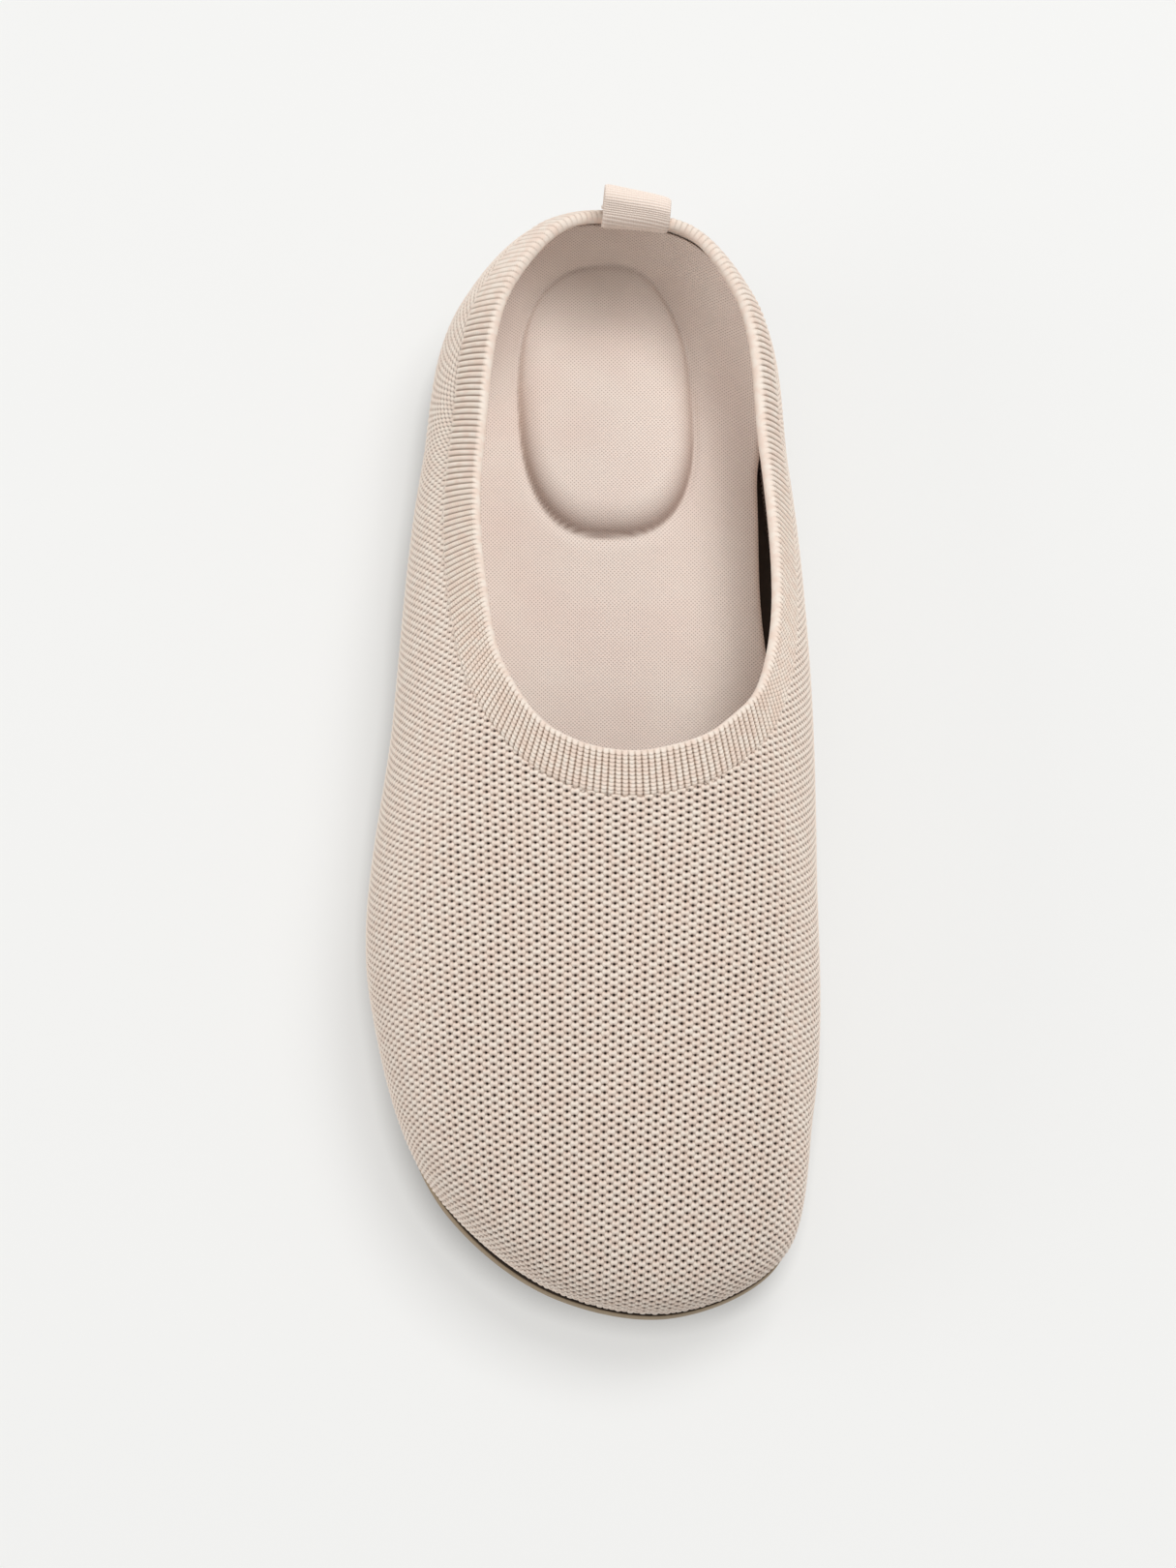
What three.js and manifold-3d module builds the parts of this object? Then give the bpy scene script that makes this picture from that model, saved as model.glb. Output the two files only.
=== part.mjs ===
// Knitted slipper for the right foot, standing on its sole. Millimetres.
// +Z is up, the toe points along -Y, and +X is the inner side of the foot.
import * as THREE from "three";
import { mergeVertices } from "three/addons/utils/BufferGeometryUtils.js";
import Module from "manifold-3d";

const wasm = await Module();
wasm.setup();

// Upper: main sizes
const shoeLength = 263; // over the swell of the knit at toe and heel
const ballWidth = 103; // over the swell of the knit at the ball
const heelHeight = 53; // collar above the floor at the back of the heel
const sideHeight = 48; // collar above the floor where it is lowest
const instepHeight = 67; // collar above the floor at the throat
const openingLength = 140; // between the outer faces of the collar, heel to throat
const openingWidth = 70.4; // between the outer faces of the collar, at its widest
const openingSetback = 7.6; // from the back of the heel to the collar edge
const openingShift = 5.4; // the opening lies this far to the inner side
const swellHeight = 23; // height of the widest line above the floor
const tuck = 3.2; // the knit draws in this far under its widest line
const wall = 2; // thickness of the knit
const collarWidth = 9; // rib band along the opening
const collarRise = 0.5; // the rib band is this much thicker than the knit

// Sole: main sizes
const heelThickness = 15;
const forefootThickness = 10.5;
const archRise = 2.4; // the waist of the sole clears the floor
const toeSpring = 6;
const soleTopInset = 0.6; // the sole's edge lies this far inside the knit's swell
const soleLip = 3.2; // height of the plain lip round the top of the side
const soleStep = 0.7; // the side steps in under the lip
const soleDraft = 1.2; // the side leans in from the step to the tread
const treadBevel = 0.9; // rounds the edge of the tread
const lugDepth = 3;
const lugGap = 2.2;
const lugPitch = 10.5;
const toeLugLength = 7.5; // the first lug, at the tip of the toe
const lugsAlong = { heelStart: 0.03, heelEnd: 0.31, ballStart: 0.54 }; // shares of the length from the heel

// Footbed: main sizes
const footbedThickness = 4;
const footbedCup = 1.6; // its edge curls up this much
const cupReach = 13; // width of the curled edge
const waistRelief = 3; // its edge stands back from the knit at the inner waist
const reliefAlong = { middle: 0.36, reach: 0.2 }; // where it does, as shares of the length from the heel
const edgeRound = 1; // bevel at the top of its edge
const edgeLean = 0.5; // its edge draws in this much towards its underside
const padRise = 2.2; // raised heel pad
const padLength = 63;
const padWidth = 41.5;
const padFromHeel = 10.5;
const padShift = -2.4; // from the middle of the opening, plus is inner side
const padLean = 3.5; // degrees, the front of the pad turns to the outer side
const padEdge = 3.6; // width of the pad's rounded edge
const padSquare = 2.6; // 2 is a plain oval, more is a fuller one

// Pull loop: main sizes
const tapeWidth = 16;
const tapeThickness = 1.1;
const loopHeight = 13.5; // above the collar edge
const loopSkew = 2.4; // its outer end stands this much higher than its inner end
const loopRadius = 2.1; // of the fold at its top
const loopLean = 16; // degrees, it leans back
const loopBend = 5; // height in which it turns from the wall's slope to that lean
const loopShift = 2; // its middle lies this far to the inner side of the heel
const loopOutside = 8; // length sewn down outside the collar
const loopInside = 2.8; // length sewn down inside the collar

const clearance = 0.3; // between neighbouring pieces

// Fineness of the faceted surfaces
const stepsRound = 80;
const stepsUp = 14;
const collarSteps = 3;
const rimSteps = 3;
const footbedSteps = 8;
const padSteps = 36;

// One row for each station round the shoe, from the back of the heel along the inner side to the toe
// and back along the outer side.
// along: share of the length from the heel, across: share of half the ball width, plus is inner side
// rimAlong, rimAcross: the same for the collar edge, as shares of the opening
// throat, heel: shares of the rise of the collar from its lowest place to the throat and to the heel
// wide: height of the widest line as a share of swellHeight
// side: share of the wall's rise that is made by its rounded side, the rest is an even slope
// turn: degrees through which the section bends before it meets the collar edge
// square: 2 is a plain ellipse, more is a fuller shoulder
const stations = [
  { name: "heel back", along: 0, across: 0.075, rimAlong: 0, rimAcross: 0, throat: 0, heel: 1,
    wide: 1.1, side: 1, turn: 48, square: 2 },
  { name: "inner heel corner", along: 0.02, across: 0.475, rimAlong: 0.024, rimAcross: 0.46,
    throat: 0, heel: 0.94, wide: 1.08, side: 1, turn: 48, square: 2 },
  { name: "inner heel side", along: 0.08, across: 0.75, rimAlong: 0.125, rimAcross: 0.775,
    throat: 0, heel: 0.55, wide: 1.04, side: 1, turn: 48, square: 2 },
  { name: "inner quarter", along: 0.235, across: 0.893, rimAlong: 0.4, rimAcross: 0.945,
    throat: 0, heel: 0, wide: 1, side: 1, turn: 48, square: 2 },
  { name: "inner waist", along: 0.433, across: 0.975, rimAlong: 0.67, rimAcross: 1,
    throat: 0.22, heel: 0, wide: 0.96, side: 1, turn: 54, square: 2.1 },
  { name: "inner ball", along: 0.615, across: 0.987, rimAlong: 0.83, rimAcross: 0.9,
    throat: 0.54, heel: 0, wide: 0.9, side: 0.9, turn: 68, square: 2.3 },
  { name: "inner toe side", along: 0.827, across: 0.957, rimAlong: 0.925, rimAcross: 0.67,
    throat: 0.82, heel: 0, wide: 0.86, side: 0.7, turn: 82, square: 2.7 },
  { name: "inner toe corner", along: 0.957, across: 0.8, rimAlong: 0.975, rimAcross: 0.41,
    throat: 0.95, heel: 0, wide: 0.84, side: 0.53, turn: 88, square: 2.7 },
  { name: "toe tip", along: 1, across: 0.34, rimAlong: 1, rimAcross: 0.08,
    throat: 1, heel: 0, wide: 0.85, side: 0.48, turn: 90, square: 2.8 },
  { name: "outer toe", along: 0.985, across: -0.15, rimAlong: 0.998, rimAcross: -0.2,
    throat: 1, heel: 0, wide: 0.85, side: 0.48, turn: 90, square: 2.7 },
  { name: "outer toe corner", along: 0.914, across: -0.63, rimAlong: 0.97, rimAcross: -0.48,
    throat: 0.95, heel: 0, wide: 0.84, side: 0.55, turn: 88, square: 2.6 },
  { name: "outer ball", along: 0.729, across: -0.985, rimAlong: 0.89, rimAcross: -0.75,
    throat: 0.8, heel: 0, wide: 0.88, side: 0.78, turn: 78, square: 2.4 },
  { name: "outer waist", along: 0.471, across: -0.905, rimAlong: 0.73, rimAcross: -0.94,
    throat: 0.42, heel: 0, wide: 0.95, side: 1, turn: 60, square: 2.1 },
  { name: "outer quarter", along: 0.235, across: -0.795, rimAlong: 0.42, rimAcross: -0.985,
    throat: 0.02, heel: 0, wide: 1, side: 1, turn: 52, square: 2 },
  { name: "outer heel side", along: 0.08, across: -0.635, rimAlong: 0.12, rimAcross: -0.79,
    throat: 0, heel: 0.55, wide: 1.04, side: 1, turn: 48, square: 2 },
  { name: "outer heel corner", along: 0.02, across: -0.38, rimAlong: 0.02, rimAcross: -0.46,
    throat: 0, heel: 0.94, wide: 1.08, side: 1, turn: 48, square: 2 },
];

// One row for each section of the sole along its length.
// spring, arch: lift of the tread above the floor, as shares of toeSpring and archRise
// heel: share of the way from the forefoot's thickness to the heel's
const soleSections = [
  { name: "heel edge", along: 0, spring: 0.35, arch: 0, heel: 1 },
  { name: "heel flat", along: 0.055, spring: 0, arch: 0, heel: 1 },
  { name: "heel breast", along: 0.3, spring: 0, arch: 0, heel: 0.92 },
  { name: "waist", along: 0.43, spring: 0, arch: 1, heel: 0.55 },
  { name: "ball start", along: 0.56, spring: 0, arch: 0, heel: 0.16 },
  { name: "ball end", along: 0.76, spring: 0, arch: 0, heel: 0 },
  { name: "toe rise", along: 0.88, spring: 0.3, arch: 0, heel: 0 },
  { name: "toe edge", along: 1, spring: 1, arch: 0, heel: 0 },
];

const radians = (degrees) => THREE.MathUtils.degToRad(degrees);
const mix = (a, b, share) => a + (b - a) * share;
const backOfHeel = shoeLength / 2;
const placeAlong = (share) => backOfHeel - share * shoeLength;

// Slope of a smooth curve at the middle one of three values.
function slopeThrough(before, here, after, gapBefore, gapAfter) {
  const rise = ((here - before) / gapBefore) * gapAfter + ((after - here) / gapAfter) * gapBefore;
  return rise / (gapBefore + gapAfter);
}

// Cubic between two values with given slopes.
function cubic(a, b, slopeA, slopeB, gap, share) {
  const back = 1 - share;
  const ends = a * (1 + 2 * share) * back * back + b * (3 - 2 * share) * share * share;
  return ends + gap * (slopeA * share * back * back - slopeB * share * share * back);
}

// Stations round the shoe: each lies at its distance along the outline.
const stationPoint = (row) =>
  new THREE.Vector2((row.across * ballWidth) / 2, placeAlong(row.along));
const stationAt = [0];
stations.forEach((row, i) => {
  const next = stations[(i + 1) % stations.length];
  stationAt.push(stationAt[i] + stationPoint(row).distanceTo(stationPoint(next)));
});
const girth = stationAt[stations.length];

// Value of a column at any distance round the shoe.
function round(column, distance) {
  const n = stations.length;
  const d = THREE.MathUtils.euclideanModulo(distance, girth);
  const i = stationAt.findIndex((at) => at > d) - 1;
  const value = (k) => stations[THREE.MathUtils.euclideanModulo(k, n)][column];
  const at = (k) => stationAt[THREE.MathUtils.euclideanModulo(k, n)] + Math.floor(k / n) * girth;
  const slope = (k) =>
    slopeThrough(value(k - 1), value(k), value(k + 1), at(k) - at(k - 1), at(k + 1) - at(k));
  const gap = at(i + 1) - at(i);
  return cubic(value(i), value(i + 1), slope(i), slope(i + 1), gap, (d - at(i)) / gap);
}

// Value of a column of the sole at a share of the length, level past both ends.
function lengthwise(column, along) {
  const rows = soleSections;
  const last = rows.length - 1;
  const a = THREE.MathUtils.clamp(along, 0, 1);
  const i = Math.min(rows.findLastIndex((row) => row.along <= a), last - 1);
  const gap = rows[i + 1].along - rows[i].along;
  const slope = (k) => {
    if (k === 0 || k === last) return (rows[i + 1][column] - rows[i][column]) / gap;
    const flat = rows[k][column] === rows[k - 1][column] || rows[k][column] === rows[k + 1][column];
    if (flat) return 0;
    return slopeThrough(rows[k - 1][column], rows[k][column], rows[k + 1][column],
      rows[k].along - rows[k - 1].along, rows[k + 1].along - rows[k].along);
  };
  return cubic(rows[i][column], rows[i + 1][column], slope(i), slope(i + 1), gap, (a - rows[i].along) / gap);
}

// Heights of the tread and of the sole's top at a place along the shoe.
const shareAt = (y) => (backOfHeel - y) / shoeLength;
const treadHeight = (y) =>
  toeSpring * lengthwise("spring", shareAt(y)) + archRise * lengthwise("arch", shareAt(y));
const soleTop = (y) =>
  treadHeight(y) + mix(forefootThickness, heelThickness, lengthwise("heel", shareAt(y)));

// Widest outline of the knit, drawn in by a distance.
function outline(distance, inset = 0) {
  const at = (d) =>
    new THREE.Vector2((round("across", d) * ballWidth) / 2, placeAlong(round("along", d)));
  const ahead = at(distance + 0.5).sub(at(distance - 0.5)).normalize();
  return at(distance).add(new THREE.Vector2(ahead.y, -ahead.x).multiplyScalar(inset));
}

// Collar edge at a distance round the shoe.
function collarEdge(distance) {
  const x = openingShift + (round("rimAcross", distance) * openingWidth) / 2;
  const y = backOfHeel - openingSetback - round("rimAlong", distance) * openingLength;
  const z = sideHeight + round("throat", distance) * (instepHeight - sideHeight) +
    round("heel", distance) * (heelHeight - sideHeight);
  return new THREE.Vector3(x, y, z);
}

// Section of the knit's outer face, from the sole to the collar edge, as a fine chain of points.
function section(distance) {
  const wide = outline(distance);
  const edge = collarEdge(distance);
  const wideHeight = swellHeight * round("wide", distance);
  const power = 2 / round("square", distance);
  const turn = radians(Math.min(round("turn", distance), 90));
  const side = round("side", distance);
  const points = [];
  const lowSteps = 4;
  for (let i = 0; i < lowSteps; i++) {
    const down = 1 - i / lowSteps;
    const low = outline(distance, tuck * down * down);
    const foot = soleTop(low.y) + clearance;
    points.push(new THREE.Vector3(low.x, low.y, mix(wideHeight, foot, down)));
  }
  const highSteps = 60;
  for (let i = 0; i <= highSteps; i++) {
    const bend = turn * (i / highSteps) ** 1.4;
    const inward = (1 - Math.max(Math.cos(bend), 0) ** power) / (1 - Math.max(Math.cos(turn), 0) ** power);
    const upward = (Math.sin(bend) / Math.sin(turn)) ** power;
    const rise = side * upward + (1 - side) * inward;
    points.push(new THREE.Vector3(mix(wide.x, edge.x, inward), mix(wide.y, edge.y, inward),
      mix(wideHeight, edge.z, rise)));
  }
  return points;
}

// Points of a chain at given distances from its end.
function fromEnd(points, distances) {
  const behind = [0];
  const chain = [...points].reverse();
  for (let i = 1; i < chain.length; i++) behind.push(behind[i - 1] + chain[i].distanceTo(chain[i - 1]));
  const total = behind[behind.length - 1];
  return distances(total).map((d) => {
    const i = Math.max(1, behind.findIndex((b) => b >= Math.min(d, total) - 1e-9));
    const share = (Math.min(d, total) - behind[i - 1]) / (behind[i] - behind[i - 1]);
    return chain[i - 1].clone().lerp(chain[i], share);
  });
}

// Distances from the collar edge at which a section is sampled: the body of the knit, closer together
// towards the sole, then the rib band.
function samples(total) {
  const body = [];
  for (let i = 0; i <= stepsUp; i++) body.push(mix(total, collarWidth, (i / stepsUp) ** 1.25));
  const band = [];
  for (let i = 1; i <= collarSteps; i++) band.push(collarWidth * (1 - i / collarSteps));
  return [...body, ...band];
}

// Outer face of the knit at a distance round the shoe: points, and the way out of the wall at each.
function outerFace(distance) {
  const nudge = 0.5;
  const here = fromEnd(section(distance), samples);
  const before = fromEnd(section(distance - nudge), samples);
  const after = fromEnd(section(distance + nudge), samples);
  const out = here.map((point, i) => {
    const up = here[Math.min(i + 1, here.length - 1)].clone().sub(here[Math.max(i - 1, 0)]);
    const ahead = after[i].clone().sub(before[i]);
    return up.cross(ahead).normalize();
  });
  return { here, out };
}

// Closed ring section of the knit wall: up the outside, over the rolled edge, down the inside.
function wallSection(distance) {
  const { here, out } = outerFace(distance);
  const last = here.length - 1;
  const outward = (i, by) => here[i].clone().addScaledVector(out[i], by);
  const ring = [];
  for (let i = 0; i <= stepsUp; i++) ring.push(here[i]);
  for (let i = stepsUp; i <= last; i++) ring.push(outward(i, collarRise));
  const up = here[last].clone().sub(here[last - 1]).normalize();
  const edgeRadius = (wall + collarRise) / 2;
  for (let i = 1; i <= rimSteps; i++) {
    const angle = (Math.PI * i) / (rimSteps + 1);
    ring.push(outward(last, collarRise - edgeRadius + edgeRadius * Math.cos(angle))
      .addScaledVector(up, edgeRadius * Math.sin(angle)));
  }
  for (let i = last; i > 0; i--) ring.push(outward(i, -wall));
  const foot = outline(distance, tuck + wall);
  ring.push(new THREE.Vector3(foot.x, foot.y, here[0].z));
  return ring;
}

// Mesh geometry from a grid of points that closes on itself in both directions.
function ringGeometry(sections) {
  const n = sections.length;
  const m = sections[0].length;
  const index = [];
  for (let i = 0; i < n; i++) {
    for (let j = 0; j < m; j++) {
      const a = i * m + j;
      const b = ((i + 1) % n) * m + j;
      const c = ((i + 1) % n) * m + ((j + 1) % m);
      const d = i * m + ((j + 1) % m);
      index.push(a, c, b, a, d, c);
    }
  }
  return new THREE.BufferGeometry().setFromPoints(sections.flat()).setIndex(index);
}

// Distances round the shoe at which every piece is cut into facets.
const roundSteps = Array.from({ length: stepsRound }, (_, i) => (girth * i) / stepsRound);
const toeStep = stepsRound / 2;

function makeUpper() {
  return ringGeometry(roundSteps.map(wallSection));
}

// Closed flat-lying body: two faces that run from side to side of a rim, and bands between them.
// rims: outlines from the upper one to the lower one, each a list of points round the shoe
// topAt, bottomAt: height of the faces at a point, or nothing for a straight span
function slabGeometry(rims, columns, topAt, bottomAt) {
  const n = rims[0].length;
  const points = rims.flat();
  const index = [];
  for (let r = 0; r + 1 < rims.length; r++) {
    for (let i = 0; i < n; i++) {
      const a = r * n + i;
      const b = r * n + ((i + 1) % n);
      index.push(a, b, b + n, a, b + n, a + n);
    }
  }
  const addFace = (rim, heightAt, faceUp) => {
    const base = rim * n;
    const at = (row, column) => {
      if (column === 0 || row === 0 || row === n / 2) return base + row;
      if (column === columns) return base + n - row;
      return inner[row - 1][column - 1];
    };
    const inner = [];
    for (let row = 1; row < n / 2; row++) {
      inner.push([]);
      for (let column = 1; column < columns; column++) {
        const p = rims[rim][row].clone().lerp(rims[rim][n - row], column / columns);
        p.z = heightAt(p);
        inner[row - 1].push(points.push(p) - 1);
      }
    }
    for (let row = 0; row < n / 2; row++) {
      for (let column = 0; column < columns; column++) {
        const corners = [at(row, column), at(row + 1, column), at(row + 1, column + 1), at(row, column + 1)];
        const [a, b, c, d] = faceUp ? corners.reverse() : corners;
        if (a !== b && b !== c && a !== c) index.push(a, b, c);
        if (a !== c && c !== d && a !== d) index.push(a, c, d);
      }
    }
  };
  addFace(0, topAt, true);
  addFace(rims.length - 1, bottomAt, false);
  return new THREE.BufferGeometry().setFromPoints(points).setIndex(index);
}

// Solids for cutting, and back again.
function solidOf(geometry) {
  const plain = geometry.clone().deleteAttribute("normal").deleteAttribute("uv");
  const merged = mergeVertices(plain, 1e-4);
  return new wasm.Manifold(new wasm.Mesh({
    numProp: 3,
    vertProperties: new Float32Array(merged.attributes.position.array),
    triVerts: new Uint32Array(merged.index.array),
  }));
}

function geometryOf(solid) {
  const mesh = solid.getMesh();
  const geometry = new THREE.BufferGeometry();
  geometry.setAttribute("position", new THREE.BufferAttribute(mesh.vertProperties, 3));
  geometry.setIndex(new THREE.BufferAttribute(mesh.triVerts, 1));
  return geometry;
}

// Outline of the sole at an inset, with the height given by a function of the place along the shoe.
const rimAt = (inset, heightAt) =>
  roundSteps.map((distance) => {
    const p = outline(distance, inset);
    return new THREE.Vector3(p.x, p.y, heightAt(p.y));
  });

function makeSole() {
  const stepInset = soleTopInset + soleStep;
  const treadInset = stepInset + soleDraft;
  const rims = [
    rimAt(soleTopInset, soleTop),
    rimAt(soleTopInset, (y) => soleTop(y) - soleLip),
    rimAt(stepInset, (y) => soleTop(y) - soleLip - soleStep / 2),
    rimAt(treadInset, (y) => treadHeight(y) + treadBevel),
    rimAt(treadInset + treadBevel, treadHeight),
  ];
  const body = slabGeometry(rims, 2, (p) => soleTop(p.y), (p) => treadHeight(p.y));
  const toeLugEnd = placeAlong(1) + treadInset + toeLugLength;
  let solid = solidOf(body);
  const lugZones = [
    { from: toeLugEnd, to: placeAlong(lugsAlong.ballStart) },
    { from: placeAlong(lugsAlong.heelEnd), to: placeAlong(lugsAlong.heelStart) },
  ];
  for (const { from, to } of lugZones) {
    for (let y = from; y <= to; y += lugPitch) {
      const slope = Math.atan2(treadHeight(y + 1) - treadHeight(y - 1), 2);
      const cutter = new THREE.BoxGeometry(ballWidth * 1.2, lugGap, lugDepth * 2);
      cutter.rotateX(slope).translate(0, y, treadHeight(y));
      solid = solid.subtract(solidOf(cutter));
    }
  }
  return geometryOf(solid);
}

const smooth = (share) => {
  const s = THREE.MathUtils.clamp(share, 0, 1);
  return s * s * (3 - 2 * s);
};

// Raised heel pad: a full oval with a rounded edge, its foot sunk into the footbed.
function makePad() {
  const fullness = 2 / padSquare;
  const centre = new THREE.Vector2(openingShift + padShift, backOfHeel - padFromHeel - padLength / 2);
  const oval = (inset, height) =>
    Array.from({ length: padSteps }, (_, i) => {
      const angle = (2 * Math.PI * i) / padSteps;
      const reach = (axis, half) => Math.sign(axis) * Math.abs(axis) ** fullness * (half - inset);
      const p = new THREE.Vector2(reach(Math.sin(angle), padWidth / 2), 0);
      p.y = reach(Math.cos(angle), padLength / 2);
      p.rotateAround(new THREE.Vector2(), radians(padLean)).add(centre);
      return new THREE.Vector3(p.x, p.y, footbedTop(p.y) + height);
    });
  const sunk = footbedThickness / 2;
  const rims = [
    oval(padEdge, padRise),
    oval(padEdge / 2, padRise * 0.86),
    oval(padEdge / 6, padRise * 0.45),
    oval(0, 0),
    oval(0, -sunk),
  ];
  return slabGeometry(rims, 4, (p) => footbedTop(p.y) + padRise, (p) => footbedTop(p.y) - sunk);
}

const footbedTop = (y) => soleTop(y) + clearance + footbedThickness;

function makeInsole() {
  const edgeInset = tuck + wall + 2 * clearance;
  const relief = (distance) => {
    const away = (round("along", distance) - reliefAlong.middle) / reliefAlong.reach;
    return round("across", distance) > 0 ? waistRelief * smooth(1 - Math.abs(away)) : 0;
  };
  const rim = (inset, height) =>
    roundSteps.map((distance) => {
      const p = outline(distance, edgeInset + inset + relief(distance));
      return new THREE.Vector3(p.x, p.y, soleTop(p.y) + clearance + height);
    });
  const edgeHeight = footbedThickness + footbedCup;
  const rims = [
    rim(cupReach, footbedThickness),
    rim(cupReach / 2, footbedThickness + footbedCup / 4),
    rim(edgeRound, edgeHeight),
    rim(0, edgeHeight - edgeRound),
    rim(edgeLean, 0),
  ];
  const bottomAt = (p) => soleTop(p.y) + clearance;
  const footbed = slabGeometry(rims, footbedSteps, (p) => footbedTop(p.y), bottomAt);
  return geometryOf(solidOf(footbed).add(solidOf(makePad())));
}

// Pull loop: tape that lies on both faces of the collar at the heel and stands up in between.
// Its path in the loop's own plane: x is out of the knit, y is up from the collar edge.
function loopPath(height) {
  const outer = collarRise + clearance + tapeThickness / 2;
  const inner = -wall - clearance - tapeThickness / 2;
  const middle = (outer + inner) / 2;
  const crown = height - loopRadius;
  const path = [new THREE.Vector2(outer, -loopOutside), new THREE.Vector2(outer, -loopOutside / 2)];
  path.push(new THREE.Vector2(outer, 0), new THREE.Vector2(outer, crown / 2));
  const foldSteps = 6;
  for (let i = 0; i <= foldSteps; i++) {
    const angle = (Math.PI * i) / foldSteps;
    path.push(new THREE.Vector2(middle + loopRadius * Math.cos(angle), crown + loopRadius * Math.sin(angle)));
  }
  path.push(new THREE.Vector2(inner, crown / 2), new THREE.Vector2(inner, 0));
  path.push(new THREE.Vector2(inner, -loopInside / 2), new THREE.Vector2(inner, -loopInside));
  return path;
}

// Closed outline of the tape's thickness along its path.
function tapeProfile(path) {
  const side = (sign) =>
    path.map((p, i) => {
      const ahead = path[Math.min(i + 1, path.length - 1)].clone().sub(path[Math.max(i - 1, 0)]).normalize();
      return p.clone().add(new THREE.Vector2(ahead.y, -ahead.x).multiplyScalar((sign * tapeThickness) / 2));
    });
  return [...side(1), ...side(-1).reverse()];
}

// Point of the outer face at a distance below the collar edge, with the ways out and up.
function onFace(distance, below) {
  const nudge = 0.5;
  const at = (d, b) => fromEnd(section(d), () => [b])[0];
  const up = at(distance, below).sub(at(distance, below + nudge)).normalize();
  const ahead = at(distance + nudge, below).sub(at(distance - nudge, below));
  return { point: at(distance, below), out: up.clone().cross(ahead).normalize(), up };
}

// Place in the loop's plane: it starts in line with the wall and turns to lean back as it rises.
function onLoop(distance, across, up) {
  if (up <= 0) {
    const { point, out } = onFace(distance, -up);
    return point.addScaledVector(out, across);
  }
  const edge = onFace(distance, 0);
  const flatOut = new THREE.Vector3(edge.out.x, edge.out.y, 0).normalize();
  const startAngle = Math.atan2(edge.up.dot(flatOut), edge.up.z);
  const angleAt = (height) => mix(startAngle, radians(loopLean), smooth((height - 1) / loopBend));
  const steps = 24;
  const point = edge.point.clone();
  for (let i = 0; i < steps; i++) {
    const angle = angleAt((up * (i + 0.5)) / steps);
    point.addScaledVector(flatOut, (Math.sin(angle) * up) / steps);
    point.z += (Math.cos(angle) * up) / steps;
  }
  const angle = angleAt(up);
  point.addScaledVector(flatOut, across * Math.cos(angle));
  point.z -= across * Math.sin(angle);
  return point;
}

// Distance round the shoe at which the collar edge has run a length from the back of the heel.
function alongCollar(length) {
  const step = 0.25 * Math.sign(length);
  let distance = 0;
  for (let run = 0; run < Math.abs(length); distance += step)
    run += collarEdge(distance + step).distanceTo(collarEdge(distance));
  return distance;
}

function makePullLoop() {
  const strips = 6;
  const sections = [];
  for (let i = 0; i <= strips; i++) {
    const across = i / strips - 0.5;
    const profile = tapeProfile(loopPath(loopHeight - across * loopSkew));
    const distance = alongCollar(loopShift + across * tapeWidth);
    sections.push(profile.map((p) => onLoop(distance, p.x, p.y)));
  }
  const points = sections.flat();
  const m = sections[0].length;
  const far = strips * m;
  const index = [];
  for (let i = 0; i < strips; i++) {
    for (let j = 0; j < m; j++) {
      const a = i * m + j;
      const b = i * m + ((j + 1) % m);
      index.push(a, b + m, a + m, a, b, b + m);
    }
  }
  for (let j = 0; j + 1 < m / 2; j++) {
    const [a, b, c, d] = [j, j + 1, m - 2 - j, m - 1 - j];
    index.push(a, c, b, a, d, c, far + a, far + b, far + c, far + a, far + c, far + d);
  }
  return new THREE.BufferGeometry().setFromPoints(points).setIndex(index);
}

const finishes = {
  knit: { color: "#d3c2b0", roughness: 0.9, metalness: 0 },
  sole: { color: "#a8937c", roughness: 0.7, metalness: 0 },
  footbed: { color: "#c9b5a8", roughness: 0.88, metalness: 0 },
  tape: { color: "#e3cbb9", roughness: 0.8, metalness: 0 },
};

function piece(name, geometry, finish) {
  geometry.computeVertexNormals();
  const mesh = new THREE.Mesh(geometry, new THREE.MeshStandardMaterial(finish));
  mesh.name = name;
  return mesh;
}

const slipper = new THREE.Group();
slipper.add(
  piece("sole", makeSole(), finishes.sole),
  piece("upper", makeUpper(), finishes.knit),
  piece("insole", makeInsole(), finishes.footbed),
  piece("pull_loop", makePullLoop(), finishes.tape),
);

// The origin is the middle of the slipper's box, on the floor.
const extent = new THREE.Box3().setFromObject(slipper, true);
const middle = extent.getCenter(new THREE.Vector3());
slipper.position.set(-middle.x, -middle.y, -extent.min.z);

export default slipper;
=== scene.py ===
# Knitted slipper for the right foot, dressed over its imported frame. Metres, toe to -Y, inner side to +X
import math
import bpy
import numpy as np
from mathutils import Matrix, Vector


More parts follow.
